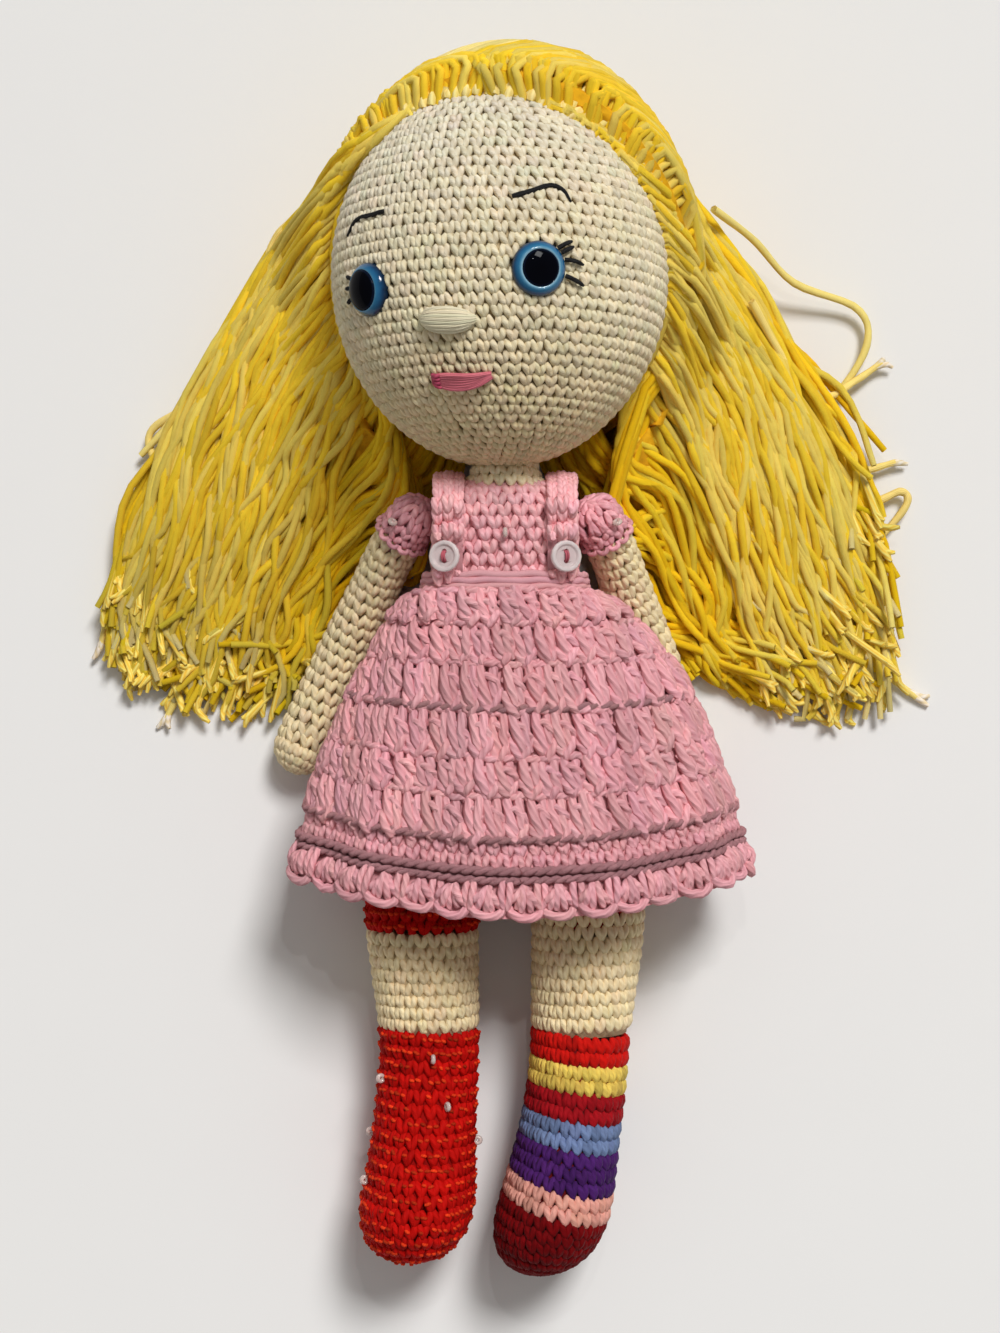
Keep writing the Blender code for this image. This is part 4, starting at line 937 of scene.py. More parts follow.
def skirtEdge():
    # the shell edge: a slot under each post, strands that fan out and a thick rim like a smile
    groups = []
    at = 0.905
    many = int(evenTurns(at, 1)[1] / 8.2)
    turns, wide = evenTurns(at, many, 0.1)
    frames = skirtFrames(np.full(many, at), turns)
    bend = np.linspace(-0.15, math.pi + 0.15, 11)
    arc = np.stack((-np.cos(bend) * wide * 0.44, -1.6 - np.sin(bend) * 2.3 + np.cos(bend) * 0.4,
                    -0.5 + 0.9 * np.sin(bend)), 1)
    wavy = arc[None] + dice.normal(0, 0.2, (many, 1, 3)) + dice.normal(0, 0.1, (many,) + arc.shape)
    groups.append((toWorld(frames, wavy), 2.2, (0.8,) + (1.0,) * 9 + (0.8,), shadeOf(many, 0.06)))
    for lean in (-68, -36, -8, 22, 56):
        way = math.radians(lean)
        petal = np.array([(math.sin(way) * 0.6 + 0.2, 3.4 - abs(lean) * 0.012, -0.5),
                          (math.sin(way) * 1.6, 1.9 - abs(lean) * 0.01, 0.75),
                          (math.sin(way) * 2.8, 0.9 - math.cos(way) * 1.5, 0.85),
                          (math.sin(way) * 3.7, 0.7 - math.cos(way) * 3.3, -0.1)])
        wavy = smoothPath(petal[None], 6) + dice.normal(0, 0.22, (many, 1, 3))
        groups.append((toWorld(frames, wavy), 1.9, (0.8, 0.95, 1.05, 1.1, 1.0, 0.8), shadeOf(many, 0.07)))
    for offset in (-0.75, 0.75):
        post = np.array([(0.5 * wide + offset, 4.4, -0.4), (0.5 * wide + offset * 1.3, 2.2, 0.6),
                         (0.5 * wide + offset * 1.1, 0.0, 0.7),
                         (0.5 * wide + offset * 0.4, -2.0, -0.2)])
        groups.append((toWorld(frames, smoothPath(post[None], 6) + dice.normal(0, 0.12, (many, 1, 3))), 1.8,
                       (0.9, 1, 1, 1, 1, 0.8),
                       shadeOf(many, 0.05) * 1.06))
    return groups


def makeSkirt():
    cloth = skirtCloth()
    bands = skirt["bands"]
    halves = [[], []]
    for number, (top, foot) in enumerate(zip(bands[:-1], bands[1:])):
        halves[number > 2] += skirtBand(top, foot, number)
    for way in skirt["strong"]:
        halves[way > 0.5] += twistedCord(way, 0.6, 1.4, 5.6, shadeOf(2, 0.02) * 1.05)
    halves[1] += twistedCord(0.848, 0.1, 1.3, 5.0, shadeOf(2, 0.02))
    halves[1] += skirtEdge()
    made = []
    for name, groups in zip(("skirt_stitches_upper", "skirt_stitches_lower"), halves):
        made.append(yarnPiece(name, groups, finishes["dress"], "body"))
        print(name, sum(len(p.vertices) - 2 for p in made[-1].data.polygons), "triangles")
    for piece in (cloth, *made):
        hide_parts("skirt")


makeSkirt()


def grownTorso(height, turn, lift):
    table = np.array(torsoAll)
    order = np.argsort(table[:, 1])
    x, z, wide, deep = (np.interp(height, table[order, 1], table[order, k]) for k in (0, 2, 3, 4))
    power = 2 / 3.0
    side, top = np.sin(turn), np.cos(turn)
    return np.stack((x + (wide + lift) * np.sign(side) * np.abs(side) ** power, height + 0 * turn,
                     z + (deep + lift) * np.sign(top) * np.abs(top) ** power), -1)


def makeWaist():
    # the waistband: four plain rounds of yarn
    groups = []
    fine = 160
    turn = np.linspace(0, whole, fine + 1)
    for height, lift in ((23.4, 1.5), (22.0, 1.8), (20.6, 2.0), (19.4, 2.0)):
        sway = np.sin(turn * 17 + height) * 0.18
        place = grownTorso(np.full(fine + 1, height), turn, lift) + np.stack((0 * turn, sway, 0 * turn), -1)
        groups.append((place[None], 1.75, (1.0,) * (fine + 1), shadeOf(1, 0.02) * 1.05))
    made = yarnPiece("waistband_yarn", groups, finishes["pink"], "body")
    inner = innerForm("waistband", "waistband_form", under["pink"], 0.7)
    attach(inner, "body")
    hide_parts("waistband")
    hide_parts("waistband")


makeWaist()


def makeStraps():
    # each strap follows the frame's own strap: its outline is found from the solid's section
    for side, sign in (("left", 1), ("right", -1)):
        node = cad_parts[side + "_strap"]
        co = np.empty(len(node.data.vertices) * 3, np.float32)
        node.data.vertices.foreach_get("co", co)
        co = co.reshape(-1, 3) / mm
        middleY, middleZ = 34.0, 37.0
        angle = np.arctan2(co[:, 1] - 24.0, co[:, 2] - middleZ)
        groups = []
        steps = np.linspace(0.02, math.pi - 0.02, 60)
        outer = []
        for level in steps:
            # the farthest vertex of the strap near this direction
            heading = np.array((math.cos(level), math.sin(level)))
            rel = np.stack((co[:, 2] - middleZ, co[:, 1] - 22.0), 1)
            reach = rel @ heading
            near = np.abs(np.arctan2(rel[:, 1], rel[:, 0]) - level) < 0.16
            best = np.max(np.linalg.norm(rel[near], axis=1)) if near.any() else np.nan
            outer.append(best)
        outer = np.array(outer)
        known = ~np.isnan(outer)
        outer = np.interp(steps, steps[known], outer[known])
        route = np.stack((steps * 0, 22.0 + outer * np.sin(steps), middleZ + outer * np.cos(steps)), 1)
        run = runAlong(route)
        heading = np.gradient(route, axis=0)
        heading /= np.linalg.norm(heading, axis=1, keepdims=True)
        out = np.cross((1.0, 0, 0), heading)
        out *= np.sign((out * (route - np.array((0, 22.0, middleZ)))).sum(1, keepdims=True))
        many = int(run[-1] / 2.7)
        for offset in (-2.75, 0, 2.75):
            at = (np.arange(many) + 0.5 + offset * 0.1) / many * run[-1]
            place = np.stack([np.interp(at, run, route[:, k]) for k in range(3)], 1)
            place[:, 0] = sign * 13.2 + offset
            up = np.stack([np.interp(at, run, heading[:, k]) for k in range(3)], 1)
            outs = np.stack([np.interp(at, run, out[:, k]) for k in range(3)], 1)
            outs += np.array((offset * 0.12, 0, 0))
            across = np.broadcast_to(np.array((1.0, 0, 0)), place.shape)
            groups += stitchGroups((place - outs * (0.45 + abs(offset) * 0.12), across, up, outs), 2.55, 3.6, 1.5,
                                   shadeOf(many, 0.04) * 1.1, wobble=0.03)
        made = yarnPiece(side + "_strap_yarn", groups, finishes["pink"], "body")
        inner = innerForm(side + "_strap", side + "_strap_form", under["pink"], 0.6)
        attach(inner, "body")
        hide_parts(side + "_strap")
        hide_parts(side + "_strap")


makeStraps()
print("dress worked")

# hair
hair = {
    "yarn": 2.0,
    "layers": ((0.0, 30), (0.14, 44), (0.26, 56), (0.5, 54), (0.9, 44), (1.5, 36)),
    # depth share under the top, strands
    "points": 34,
    "lockSize": 4,
    "capHalves": (43.5, 53.0, 47.0),
    "capCentre": (1.3, 93.0, 43.5),
    "falls": {
        "right": ((-.16, .62, -.2, 1.33, .5), (-.22, .47, -.39, 1.22, .41), (-.3, .345, -.55, 1.01, .27),
                  (-.375, .235, -.7, .77, .18),
                  (-.435, .13, -.83, .55, .13), (-.47, .045, -.94, .3, .09), (-.5, -.035, -1, .07, .055),
                  (-.6, -.12, -.93, -.02, .03)),
        "left": ((.14, .6, .12, 1.38, .5), (.23, .44, .36, 1.28, .41), (.32, .3, .53, 1.09, .27),
                 (.39, .2, .665, .87, .18),
                 (.44, .11, .8, .58, .13), (.475, .045, .885, .32, .09), (.53, -.03, .997, .04, .055),
                 (.66, -.1, .96, -.1, .03)),
    },
    "unit": 104.5,
    "fans": ((1.1, 60), (-0.2, 56)),  # sweeping strands beside the face: lift (mm) over the fall, strands
    "fallToneAndShade": {"right": (1.0, 0.28), "left": (0.9, 0.0)},
    # how light a fall's yarn is, and how much painted shade darkens it towards its ends
    "still": (0, 0.028, 0),
    # heights along Y in metres: still, seam and carried; a fall is cut in two lengths at the seam
    "seam": (0, 0.046, 0),
    "carried": (0, 0.092, 0),
}


def fallPoint(side, way, share, height):
    # a point in the fall: way along it, share from its inner to its outer edge, height through its thickness
    table = np.array(hair["falls"][side])
    at = np.linspace(0, 1, len(table))
    innerX, innerY, outerX, outerY, thick = (np.interp(way, at, table[:, k]) for k in range(5))
    x = (innerX + (outerX - innerX) * share) * hair["unit"]
    y = (innerY + (outerY - innerY) * share) * hair["unit"]
    half = thick * hair["unit"] / 2
    return np.stack((x, y, half - 0.5 + height * (half - 0.9)), -1)


def offOval(points, centre, halves):
    # moves points that lie inside the oval out to its surface
    rel = (points - centre) / halves
    size = np.linalg.norm(rel, axis=-1, keepdims=True)
    return np.where(size < 1, centre + rel / np.maximum(size, 1e-6) * halves, points)


def hairlinePoint(turn, back=0.0, grow=0.6):
    # a point on the edge of the hair: the hairline plane's ring round the head
    normal = hairlineNormal()
    middle = np.array(head["centre"])
    centre = middle - normal * (head["hairlineBack"] + back)
    side = np.cross((0, 1.0, 0), normal)
    side /= np.linalg.norm(side)
    up = np.cross(normal, side)
    turn = np.asarray(turn, float)
    halves = np.array(head["halves"]) + grow
    rays = np.cos(turn)[..., None] * up + np.sin(turn)[..., None] * side
    rel, ray = (centre - middle) / halves, rays / halves
    a = (ray ** 2).sum(-1)
    b = 2 * (ray * rel).sum(-1)
    c = (rel ** 2).sum(-1) - 1
    reach = (-b + np.sqrt(b * b - 4 * a * c)) / (2 * a)
    return centre + rays * reach[..., None]


def strandPaths(side, count, depth, local):
    sign = 1 if side == "left" else -1
    q = np.sort((np.arange(count) + local.random(count)) / count).clip(0.004, 0.996)
    if depth < 0.2:  # the top strands near the face come from the fans
        q = 0.42 + 0.58 * q
    round_ = np.sqrt(np.maximum(1 - (2 * q - 1) ** 2, 0.0))
    lock = np.arange(count) // hair["lockSize"]
    turn = sign * (0.03 + (1 - q) * 2.2) + local.normal(0, 0.03, count)
    normal = hairlineNormal()
    centre = np.array(head["centre"])
    buried = min(depth, 1.0)
    root = hairlinePoint(turn, buried * 8)
    out = root - centre
    out /= np.linalg.norm(out, axis=1, keepdims=True)
    controls = [root, root + out * (4.2 - 2.5 * buried) - normal * (3.0 + 4 * buried)]
    ends = 0.76 + 0.17 * local.random(lock.max() + 1)[lock] + 0.07 * local.random(count)
    if side == "left":
        ends -= 0.20 * np.clip((q - 0.72) / 0.28, 0, 1)
    lockDrift = local.normal(0, 0.05, (lock.max() + 1, 6))[lock]
    ownDrift = np.cumsum(local.normal(0, 0.026, (count, 6)), 1)
    lockLift = local.normal(0, 0.10, (lock.max() + 1, 6))[lock]
    for number, way in enumerate((0.2, 0.36, 0.52, 0.68, 0.84, 1.0)):
        share = q + (lockDrift[:, number] + ownDrift[:, number]) * (0.4 + way)
        share = np.where(share < 0, -share * 0.5, np.where(share > 1, 1 + (share - 1) * 0.5, share))
        share = share * (1 - (0.13 if side == "right" else 0.11) * math.sin(math.pi * min(way * 1.1, 1)))
        share = share - (0.0 if depth < 0.5 else 0.32) * (1 - way) ** 1.5 * (1 - q)
        height = round_ ** 0.6 * (1 - depth) + lockLift[:, number] * 0.5
        if way > 0.9:
            height = height + local.normal(0, 0.5, count)
        place = fallPoint(side, np.minimum(way * ends, 1.0), share, height)
        over = np.maximum(way * ends - 1, 0)[:, None] * hair["unit"]
        place = place + over * (0.1 * sign, -1.0, 0.0)
        controls.append(place)
    controls = np.stack(controls, 1)
    path = smoothPath(controls, hair["points"])
    wave = np.linspace(0, 1, hair["points"])[None]
    swing = local.random((count, 4)) * whole
    pace = 8 + 13 * local.random((count, 2))
    sway = 1.1 + 1.9 * local.random((count, 1))
    flick = np.clip((wave - 0.82) / 0.18, 0, 1) ** 2
    path[..., 0] += np.sin(wave * pace[:, :1] + swing[:, :1]) * sway * wave ** 0.7 + flick * local.normal(0, 4.2,
                                                                                                          (count, 1))
    path[..., 1] += np.cos(wave * pace[:, 1:] + swing[:, 1:2]) * 0.9 * wave ** 0.7 + flick * local.normal(0, 2.6,
                                                                                                          (count, 1))
    path[..., 2] += flick * np.abs(local.normal(0, 2.2, (count, 1)))
    # each strand curls a little at its end
    curl = np.clip((wave - 0.86) / 0.14, 0, 1) * (2.0 + 2.5 * local.random((count, 1)))
    reach = np.clip((wave - 0.86) / 0.14, 0, 1) * local.normal(0, 1.6, (count, 1))
    path[..., 0] += np.sin(curl) * reach
    path[..., 1] += (1 - np.cos(curl)) * np.abs(reach) * 0.7
    path[..., 2] += np.sin(wave * 22 + swing[:, 2:3]) * (0.5 + 0.6 * wave)
    behind = ((path - centre) @ normal) < -head["hairlineBack"] - 2.5
    grow = (1.2 - 0.9 * buried) * 1.0
    onCap = offOval(path, np.array(hair["capCentre"]), np.array(hair["capHalves"]) + grow - 1.4 * buried)
    path = np.where(behind[..., None], onCap, path)
    path = offOval(path, centre, np.array(head["halves"]) + 0.9)
    # the tied end lies inside the cap
    path[:, 0] = root - out * 4.0
    path[:, 1] = root - out * 1.2
    return reinedIn(path)


def fallTop(side, spots):
    # the spot on the fall's top side nearest to each (x, y)
    way, share = (v.ravel() for v in np.meshgrid(np.linspace(0, 1, 80), np.linspace(0.02, 0.98, 50), indexing="ij"))
    grid = fallPoint(side, way, share, np.maximum(1 - (2 * share - 1) ** 2, 0) ** 0.3)
    best = np.empty((len(spots), 3))
    for first in range(0, len(spots), 400):
        part = spots[first:first + 400]
        gap = (part[:, None, 0] - grid[None, :, 0]) ** 2 + (part[:, None, 1] - grid[None, :, 1]) ** 2
        best[first:first + 400] = grid[gap.argmin(1)]
    return best


def reinedIn(path):
    # keeps a fall's free ends over the floor and not too far out
    wide = np.abs(path[..., 0])
    path[..., 0] = np.sign(path[..., 0]) * np.where(wide > 95, 95 + (wide - 95) * 0.4, wide)
    path[..., 2] = np.maximum(path[..., 2], 0.95)
    return path


def fanPaths(side, count, lift, local):
    # strands tied in beside the face that sweep outwards and then hang, two to a knot
    sign = 1 if side == "left" else -1
    pair = np.arange(count) // 2
    start = ((pair + 0.6 * local.random(pair.max() + 1)[pair]) * 2 / count).clip(0, 1)
    turn = sign * (0.38 + 1.9 * start)
    root = hairlinePoint(turn, -0.3, 0.3) + local.normal(0, 0.4, (count, 3))
    natural = 1 - (np.abs(turn) - 0.03) / 2.2
    share = natural + 0.24 + local.normal(0, 0.09, pair.max() + 1)[pair] + local.normal(0, 0.03, count)
    share = np.where(share > 0.8, 0.8 + (share - 0.8) * 0.3, share).clip(0.05, 0.93)
    ends = 0.74 + 0.2 * local.random(pair.max() + 1)[pair] + 0.05 * local.random(count)
    last = fallPoint(side, ends, share, 0)[:, :2]
    flow = last - fallPoint(side, ends - 0.15, share, 0)[:, :2]
    flow /= np.linalg.norm(flow, axis=1, keepdims=True)
    reach = np.linalg.norm(last - root[:, :2], axis=1)[:, None]
    angle = np.radians(-(24 + 26 * start + local.normal(0, 7, count)))
    leave = np.stack((sign * np.cos(angle), np.sin(angle)), 1)
    points = 32
    way = np.linspace(0, 1, points)[None, :, None]
    flat = ((2 * way ** 3 - 3 * way ** 2 + 1) * root[:, None,
                                                     :2] + (way ** 3 - 2 * way ** 2 + way) * (leave * reach)[:,
                                                                                                             None] * 1.0
            + (3 * way ** 2 - 2 * way ** 3) * last[:, None] + (way ** 3 - way ** 2) * (flow * reach)[:, None] * 1.15)
    swing = local.random((count, 1, 3)) * whole
    pace = 8 + 13 * local.random((count, 1, 2))
    flat += np.sin(way * pace + swing[..., :2]) * (1.0 + 1.5 * local.random((count, 1, 1))) * np.clip(way * 3, 0, 1)
    curl = np.clip((way - 0.84) / 0.16, 0, 1)
    bend = curl * (2 + 2.5 * local.random((count, 1, 1)))
    flat += np.concatenate((np.sin(bend), np.cos(bend) - 1), 2) * curl * local.normal(0, 2.6, (count, 1, 1))
    near = fallTop(side, flat.reshape(-1, 2)).reshape(count, points, 3)
    gap = flat - near[..., :2]
    far = np.linalg.norm(gap, axis=2, keepdims=True)
    flat = near[..., :2] + gap * np.minimum(1, 0.8 / np.maximum(far, 1e-6))
    blend = np.clip(way[..., 0] / 0.22, 0, 1)
    blend = blend * blend * (3 - 2 * blend)
    level = near[..., 2] + lift + 0.5 * local.random((count, 1))
    high = root[:, 2:] * (1 - blend) + level * blend + 1.4 * np.sin(np.clip(way[..., 0] / 0.12, 0, 1) * math.pi)
    high = high + np.sin(way[..., 0] * 20 + swing[..., 2]) * (0.4 + 0.7 * way[..., 0])
    path = np.concatenate((flat, high[..., None]), 2)
    path[:, 0] = root
    away = root - np.array(head["centre"])
    away /= np.linalg.norm(away, axis=1, keepdims=True)
    path = offOval(path, np.array(head["centre"]), np.array(head["halves"]) + 0.7)
    path[:, 0] = root - away * 2.5
    path[:, 1] = root + away * 0.5
    return reinedIn(path)


def strandShades(side, paths, local, paleShare, depth=0.0):
    # pale and golden strands; painted shade darkens a fall towards its ends, where each tip is pale
    count, points = paths.shape[:2]
    pale = (local.random(count) < paleShare)[:, None]
    tint = np.where(pale, (0.94, 1.02, 1.9), (1.0, 0.97, 0.5)) * shadeOf(count, 0.07)
    # painted shade: deeper layers are tinted a deeper gold with less blue, as the shade between the strands looks
    tint = tint * (1.0, 1 - 0.14 * min(depth, 1), math.exp(-3.5 * depth))
    way = np.linspace(0, 1, points)
    level, loss = hair["fallToneAndShade"][side]
    fallToneAndShade = level * (1 - loss * np.clip((way - 0.35) / 0.6, 0, 1))
    tip = 1 + np.clip((way - 0.9) / 0.1, 0, 1)[:, None] * (-0.1, 0.0, 1.4)
    return tint[:, None] * fallToneAndShade[None, :, None] * tip[None]


def innerPaths(sign, local):
    # the strands nearest the neck, which lie under the sleeve and the arm
    many = 46
    start = local.random((many, 1))
    route = np.array(((6, 78, 14), (11, 64, 16), (15, 52, 16), (21, 42, 12), (30, 30, 8), (40, 14, 5), (49, 2, 3)),
                     float)
    wide = np.array(((3, 3, 5), (5, 3, 6), (6, 3, 6), (8, 4, 5), (9, 5, 3), (8, 6, 2), (6, 6, 1)), float)
    controls = route[None] + wide[None] * (start[:, None] * 2 - 0.6) + local.normal(0, 1.0, (many, len(route), 3))
    controls[..., 0] *= sign
    path = smoothPath(controls, hair["points"])
    path[..., 2] = np.maximum(path[..., 2], 1.0)
    return path


def backPaths(side, count, local):
    # strands along a fall's underside, from the middle of the head's back to the free ends
    q = ((np.arange(count) + local.random(count)) / count).clip(0.02, 0.98)
    round_ = np.sqrt(1 - (2 * q - 1) ** 2)
    ends = 0.76 + 0.18 * local.random(count)
    drift = local.normal(0, 0.03, (count, 8)).cumsum(1)
    controls = []
    for number, way in enumerate((0.0, 0.12, 0.24, 0.36, 0.52, 0.68, 0.84, 1.0)):
        share = (q + drift[:, number] * way).clip(0.02, 0.98)
        controls.append(fallPoint(side, way * ends, share, -0.95 * round_ ** 0.5 + local.normal(0, 0.08, count)))
    path = smoothPath(np.stack(controls, 1), hair["points"])
    way = np.linspace(0, 1, hair["points"])[None]
    swing = local.random((count, 2)) * whole
    path[..., 0] += np.sin(way * 15 + swing[:, :1]) * 1.4 * way
    path[..., 1] += np.cos(way * 12 + swing[:, 1:]) * 0.9 * way
    middle = np.array(hair["capCentre"])
    path = offOval(path, middle, np.array(hair["capHalves"]) + 0.7)
    path[:, 0] = middle + (path[:, 0] - middle) * 0.93
    return reinedIn(path)


def frayedEnds(path, local):
    # the plies that come apart at a cut end: short thin strands that spread
    path = path[local.random(len(path)) < 0.4]
    last, before = path[:, -1], path[:, -3]
    heading = last - before
    heading /= np.linalg.norm(heading, axis=1, keepdims=True)
    last, before, heading = (np.repeat(v, 2, 0) for v in (last, before, heading))
    count = len(last)
    spread = local.normal(0, 1.0, (count, 3)) * (1, 1, 0.5)
    reach = 1.4 + 1.8 * local.random((count, 1))
    tips = np.stack((before, last + spread * 0.25, last + heading * reach * 0.6 + spread * 0.6,
                     last + heading * reach + spread * 1.2), 1)
    tips[..., 2] = np.maximum(tips[..., 2], 0.6)
    return tips, 1.5, (1.0, 1.1, 1.0, 0.6), shadeOf(count, 0.08) * (0.9, 0.97, 2.0)


def strayPaths(local):
    # the loose strands that stand off the outline, drawn one by one: x, y, z in mm
    drawn = (
        ((50, 112, 30), (61.4, 107.1, 16), (72.2, 98.1, 8), (88.7, 92.3, 4), (91.2, 83, 3.5), (83.7, 70.7, 3),
         (76, 66, 4)),
        ((60, 90, 24), (70, 76, 14), (80, 69, 8), (88, 73, 4), (95.3, 78, 3)),
        ((70, 60, 12), (83, 49, 6), (90, 50.6, 4), (98.5, 53.1, 3)),
        ((74, 50, 8), (91, 43.5, 4), (100, 46, 3), (101.4, 42.5, 3), (94.6, 34, 3)),
        ((62, 30, 10), (76, 14, 6), (90.6, 4.4, 3), (104, -5.6, 1.6)),
        ((-44, 116, 34), (-50.7, 111.3, 26), (-56.1, 106.8, 22), (-58.2, 101.4, 20), (-56.6, 96.0, 21),
         (-51.8, 91.4, 25)),
        ((-40, 100, 24), (-65.9, 84.3, 12), (-72.6, 75.7, 8), (-81.9, 67.2, 5), (-87.2, 60.4, 4), (-92.3, 55.2, 3)),
        ((-50, 84, 20), (-66, 72, 12), (-82, 66, 6), (-90, 60, 3), (-86, 50, 3), (-80, 44, 4)),
        ((-60, 52, 12), (-80, 38, 6), (-96, 28, 3), (-100, 18, 2.4), (-103, 6, 2)),
        ((-62, 60, 12), (-78, 54, 8), (-88, 46, 4), (-92, 36, 3), (-99, 22, 2)),
        ((-56, 30, 10), (-70, 12, 6), (-82, -4, 3), (-86, -11, 2)),
    )
    return [smoothPath(np.array(line, float)[None], hair["points"])[0] + local.normal(0, 0.25,
                                                                                      (1, 3)) for line in drawn]


def layFall(made, side):
    # a fall cut into two lengths that meet level with the neck joint
    lower = asObject(made.name + "_lower", made.data.copy())
    for part, away in ((made, -1), (lower, 1)):
        shape = bmesh.new()
        shape.from_mesh(part.data)
        bmesh.ops.bisect_plane(shape, geom=shape.verts[:] + shape.edges[:] + shape.faces[:], dist=0.001 * mm,
                               plane_co=hair["seam"], plane_no=(0, away, 0), clear_outer=True)
        ends = bmesh.ops.holes_fill(shape, edges=[edge for edge in shape.edges if edge.is_boundary], sides=0)["faces"]
        # the end caps have their own corners, so that they don't bend the shading across the seam
        bmesh.ops.split_edges(shape, edges=list(dict.fromkeys(edge for face in ends for edge in face.edges)))
        shape.to_mesh(part.data)
        shape.free()
        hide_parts(side + "_hair_fall")
    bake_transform(lower)
    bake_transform(made)


def makeHair():
    tips = np.linspace(0, 1, hair["points"])
    swell = tuple(1.0 + 0.06 * np.sin(tips * 40) - 0.25 * tips ** 8)
    for side in ("right", "left"):
        local = np.random.default_rng(5 if side == "right" else 6)
        groups = []
        for depth, count in hair["layers"]:
            path = strandPaths(side, count, depth, local)
            groups.append((path, hair["yarn"], swell, strandShades(side, path, local, 0.4, depth)))
            if depth < 0.5:
                groups.append(frayedEnds(path, local))
        for lift, count in hair["fans"]:
            path = fanPaths(side, count, lift, local)
            groups.append((path, hair["yarn"], tuple(np.interp(np.linspace(0, 1, path.shape[1]), tips, swell)),
                           strandShades(side, path, local, 0.6)))
            groups.append(frayedEnds(path, local))
        inner = innerPaths(-1 if side == "right" else 1, local)
        groups.append((inner, hair["yarn"], swell, strandShades(side, inner, local, 0.1, 0.6)))
        made = yarnPiece(side + "_hair_strands", groups, finishes["hair"], None)
        print(side, "hair triangles:", sum(len(p.vertices) - 2 for p in made.data.polygons))
        core = innerForm(side + "_hair_fall", side + "_hair_core", under["hair"], 3.4)
        trimCore(core)
        layFall(made, side)
        layFall(core, side)
        back = backPaths(side, 76, local)
        made = yarnPiece(side + "_hair_back",
                         [(back, hair["yarn"], swell, strandShades(side, back, local, 0.4, 0.2)),
                          frayedEnds(back, local)],
                         finishes["hair"], None)
        layFall(made, side)
        stray = np.array([path for path in strayPaths(local) if (path[0, 0] > 0) == (side == "left")])
        made = yarnPiece(side + "_loose_strands",
                         [(stray, 2.0, swell, shadeOf(len(stray), 0.05) * (1.0, 0.98, 0.8)), frayedEnds(stray, local)],
                         finishes["paleHair"], None)
        layFall(made, side)
    cap = innerForm("hair_cap", "hair_cap_core", under["hair"], 1.6)
    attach(cap, "head_part")
    local = np.random.default_rng(9)
    # the knots that tie the strands in along the hairline
    many = 26
    turn = -0.95 + (np.arange(many) + 0.5 * local.random(many)) / many * 1.5
    normal = hairlineNormal()
    centre = np.array(head["centre"])
    groups = []
    for row, (back, rise, length) in enumerate(((-0.6, 0.9, 9.0), (1.6, 1.7, 14.0))):
        at = turn + row * 1.5 / many / 2
        start = hairlinePoint(at, back, 0.4)
        out = start - centre
        out /= np.linalg.norm(out, axis=1, keepdims=True)
        slide = hairlinePoint(at + 0.11, back + length, 0.8) - start
        path = np.stack((start - out * 0.6, start + out * rise * 0.8 + slide * 0.12,
                         start + out * rise * 1.25 + slide * 0.45,
                         start + out * (rise * 1.0 + 0.6) + slide * 0.8, start + out * rise * 0.5 + slide * 1.05), 1)
        path = smoothPath(path + local.normal(0, 0.25, path.shape), 9)
        groups.append((path, 2.4, (0.8, 1, 1.04, 1.06, 1.06, 1.04, 1, 0.95, 0.8), shadeOf(many, 0.05)))
    # strands that wrap the crown and the back of the head
    for layer, many, parted in ((0, 96, 36), (1, 80, 26)):
        at = (np.arange(many) + local.random(many)) / many * whole
        at = np.concatenate((at, 5.4 + 0.6 * local.random(parted)))
        many += parted
        sweep = np.interp(np.where(at < 3.3, at + whole, at), (5.4, 6.0), (-0.14, 0.17))
        rows = []
        for step, back in enumerate((0.5, 9.0, 19.0, 28.0, 34.5)):
            ring = hairlinePoint(at + sweep * step + local.normal(0, 0.025, many), back, 0.5)
            rows.append(ring)
        rows.append(ring + (ring.mean(0) - ring) * (0.6 + 0.5 * local.random((many, 1))))
        path = smoothPath(np.stack(rows, 1), 22)
        path = offOval(path, np.array(hair["capCentre"]), np.array(hair["capHalves"]) + 0.5 - 1.2 * layer)
        path[..., 2] = np.maximum(path[..., 2], 1.0)
        rim = hairlinePoint(at, 0.5 + 1.5 * layer, 0.5)
        away = rim - centre
        away /= np.linalg.norm(away, axis=1, keepdims=True)
        path[:, 0] = rim - away * 3
        path[:, 1] = rim + away * 0.3
        # painted shade: the under layer of wraps is tinted deeper gold
        groups.append((path, 1.9, (1.0,) * 22, shadeOf(many, 0.06) * (1.0, 1.0 - 0.08 * layer, 0.95 - 0.5 * layer)))
    made = yarnPiece("hair_cap_strands", groups, finishes["paleHair"], "head_part")
    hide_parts("hair_cap")
    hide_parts("hair_cap")


def trimCore(core):
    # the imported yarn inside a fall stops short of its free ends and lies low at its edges
    shape = bmesh.new()
    shape.from_mesh(core.data)
    bmesh.ops.bisect_plane(shape, geom=shape.verts[:] + shape.edges[:] + shape.faces[:], dist=0.01 * mm,
                           plane_co=(0, 6 * mm, 0), plane_no=(0, -1, 0), clear_outer=True)
    bmesh.ops.holes_fill(shape, edges=shape.edges, sides=0)
    bmesh.ops.recalc_face_normals(shape, faces=shape.faces)
    middle, halves = np.array(hair["capCentre"]), np.array(hair["capHalves"]) - 2.0
    for vert in shape.verts:
        place = np.array(vert.co) / mm
        pull = min(max((place[1] - 60) / 14, 0), 1) * min(max((44 - abs(place[0])) / 10, 0), 1)
        size = np.linalg.norm((place - middle) / halves)
        if size > 1:
            place += (middle + (place - middle) / size - place) * pull
        place[2] = max(place[2], 0.4)
        vert.co = place * mm
    shape.to_mesh(core.data)
    shape.free()


makeHair()
print("hair laid")


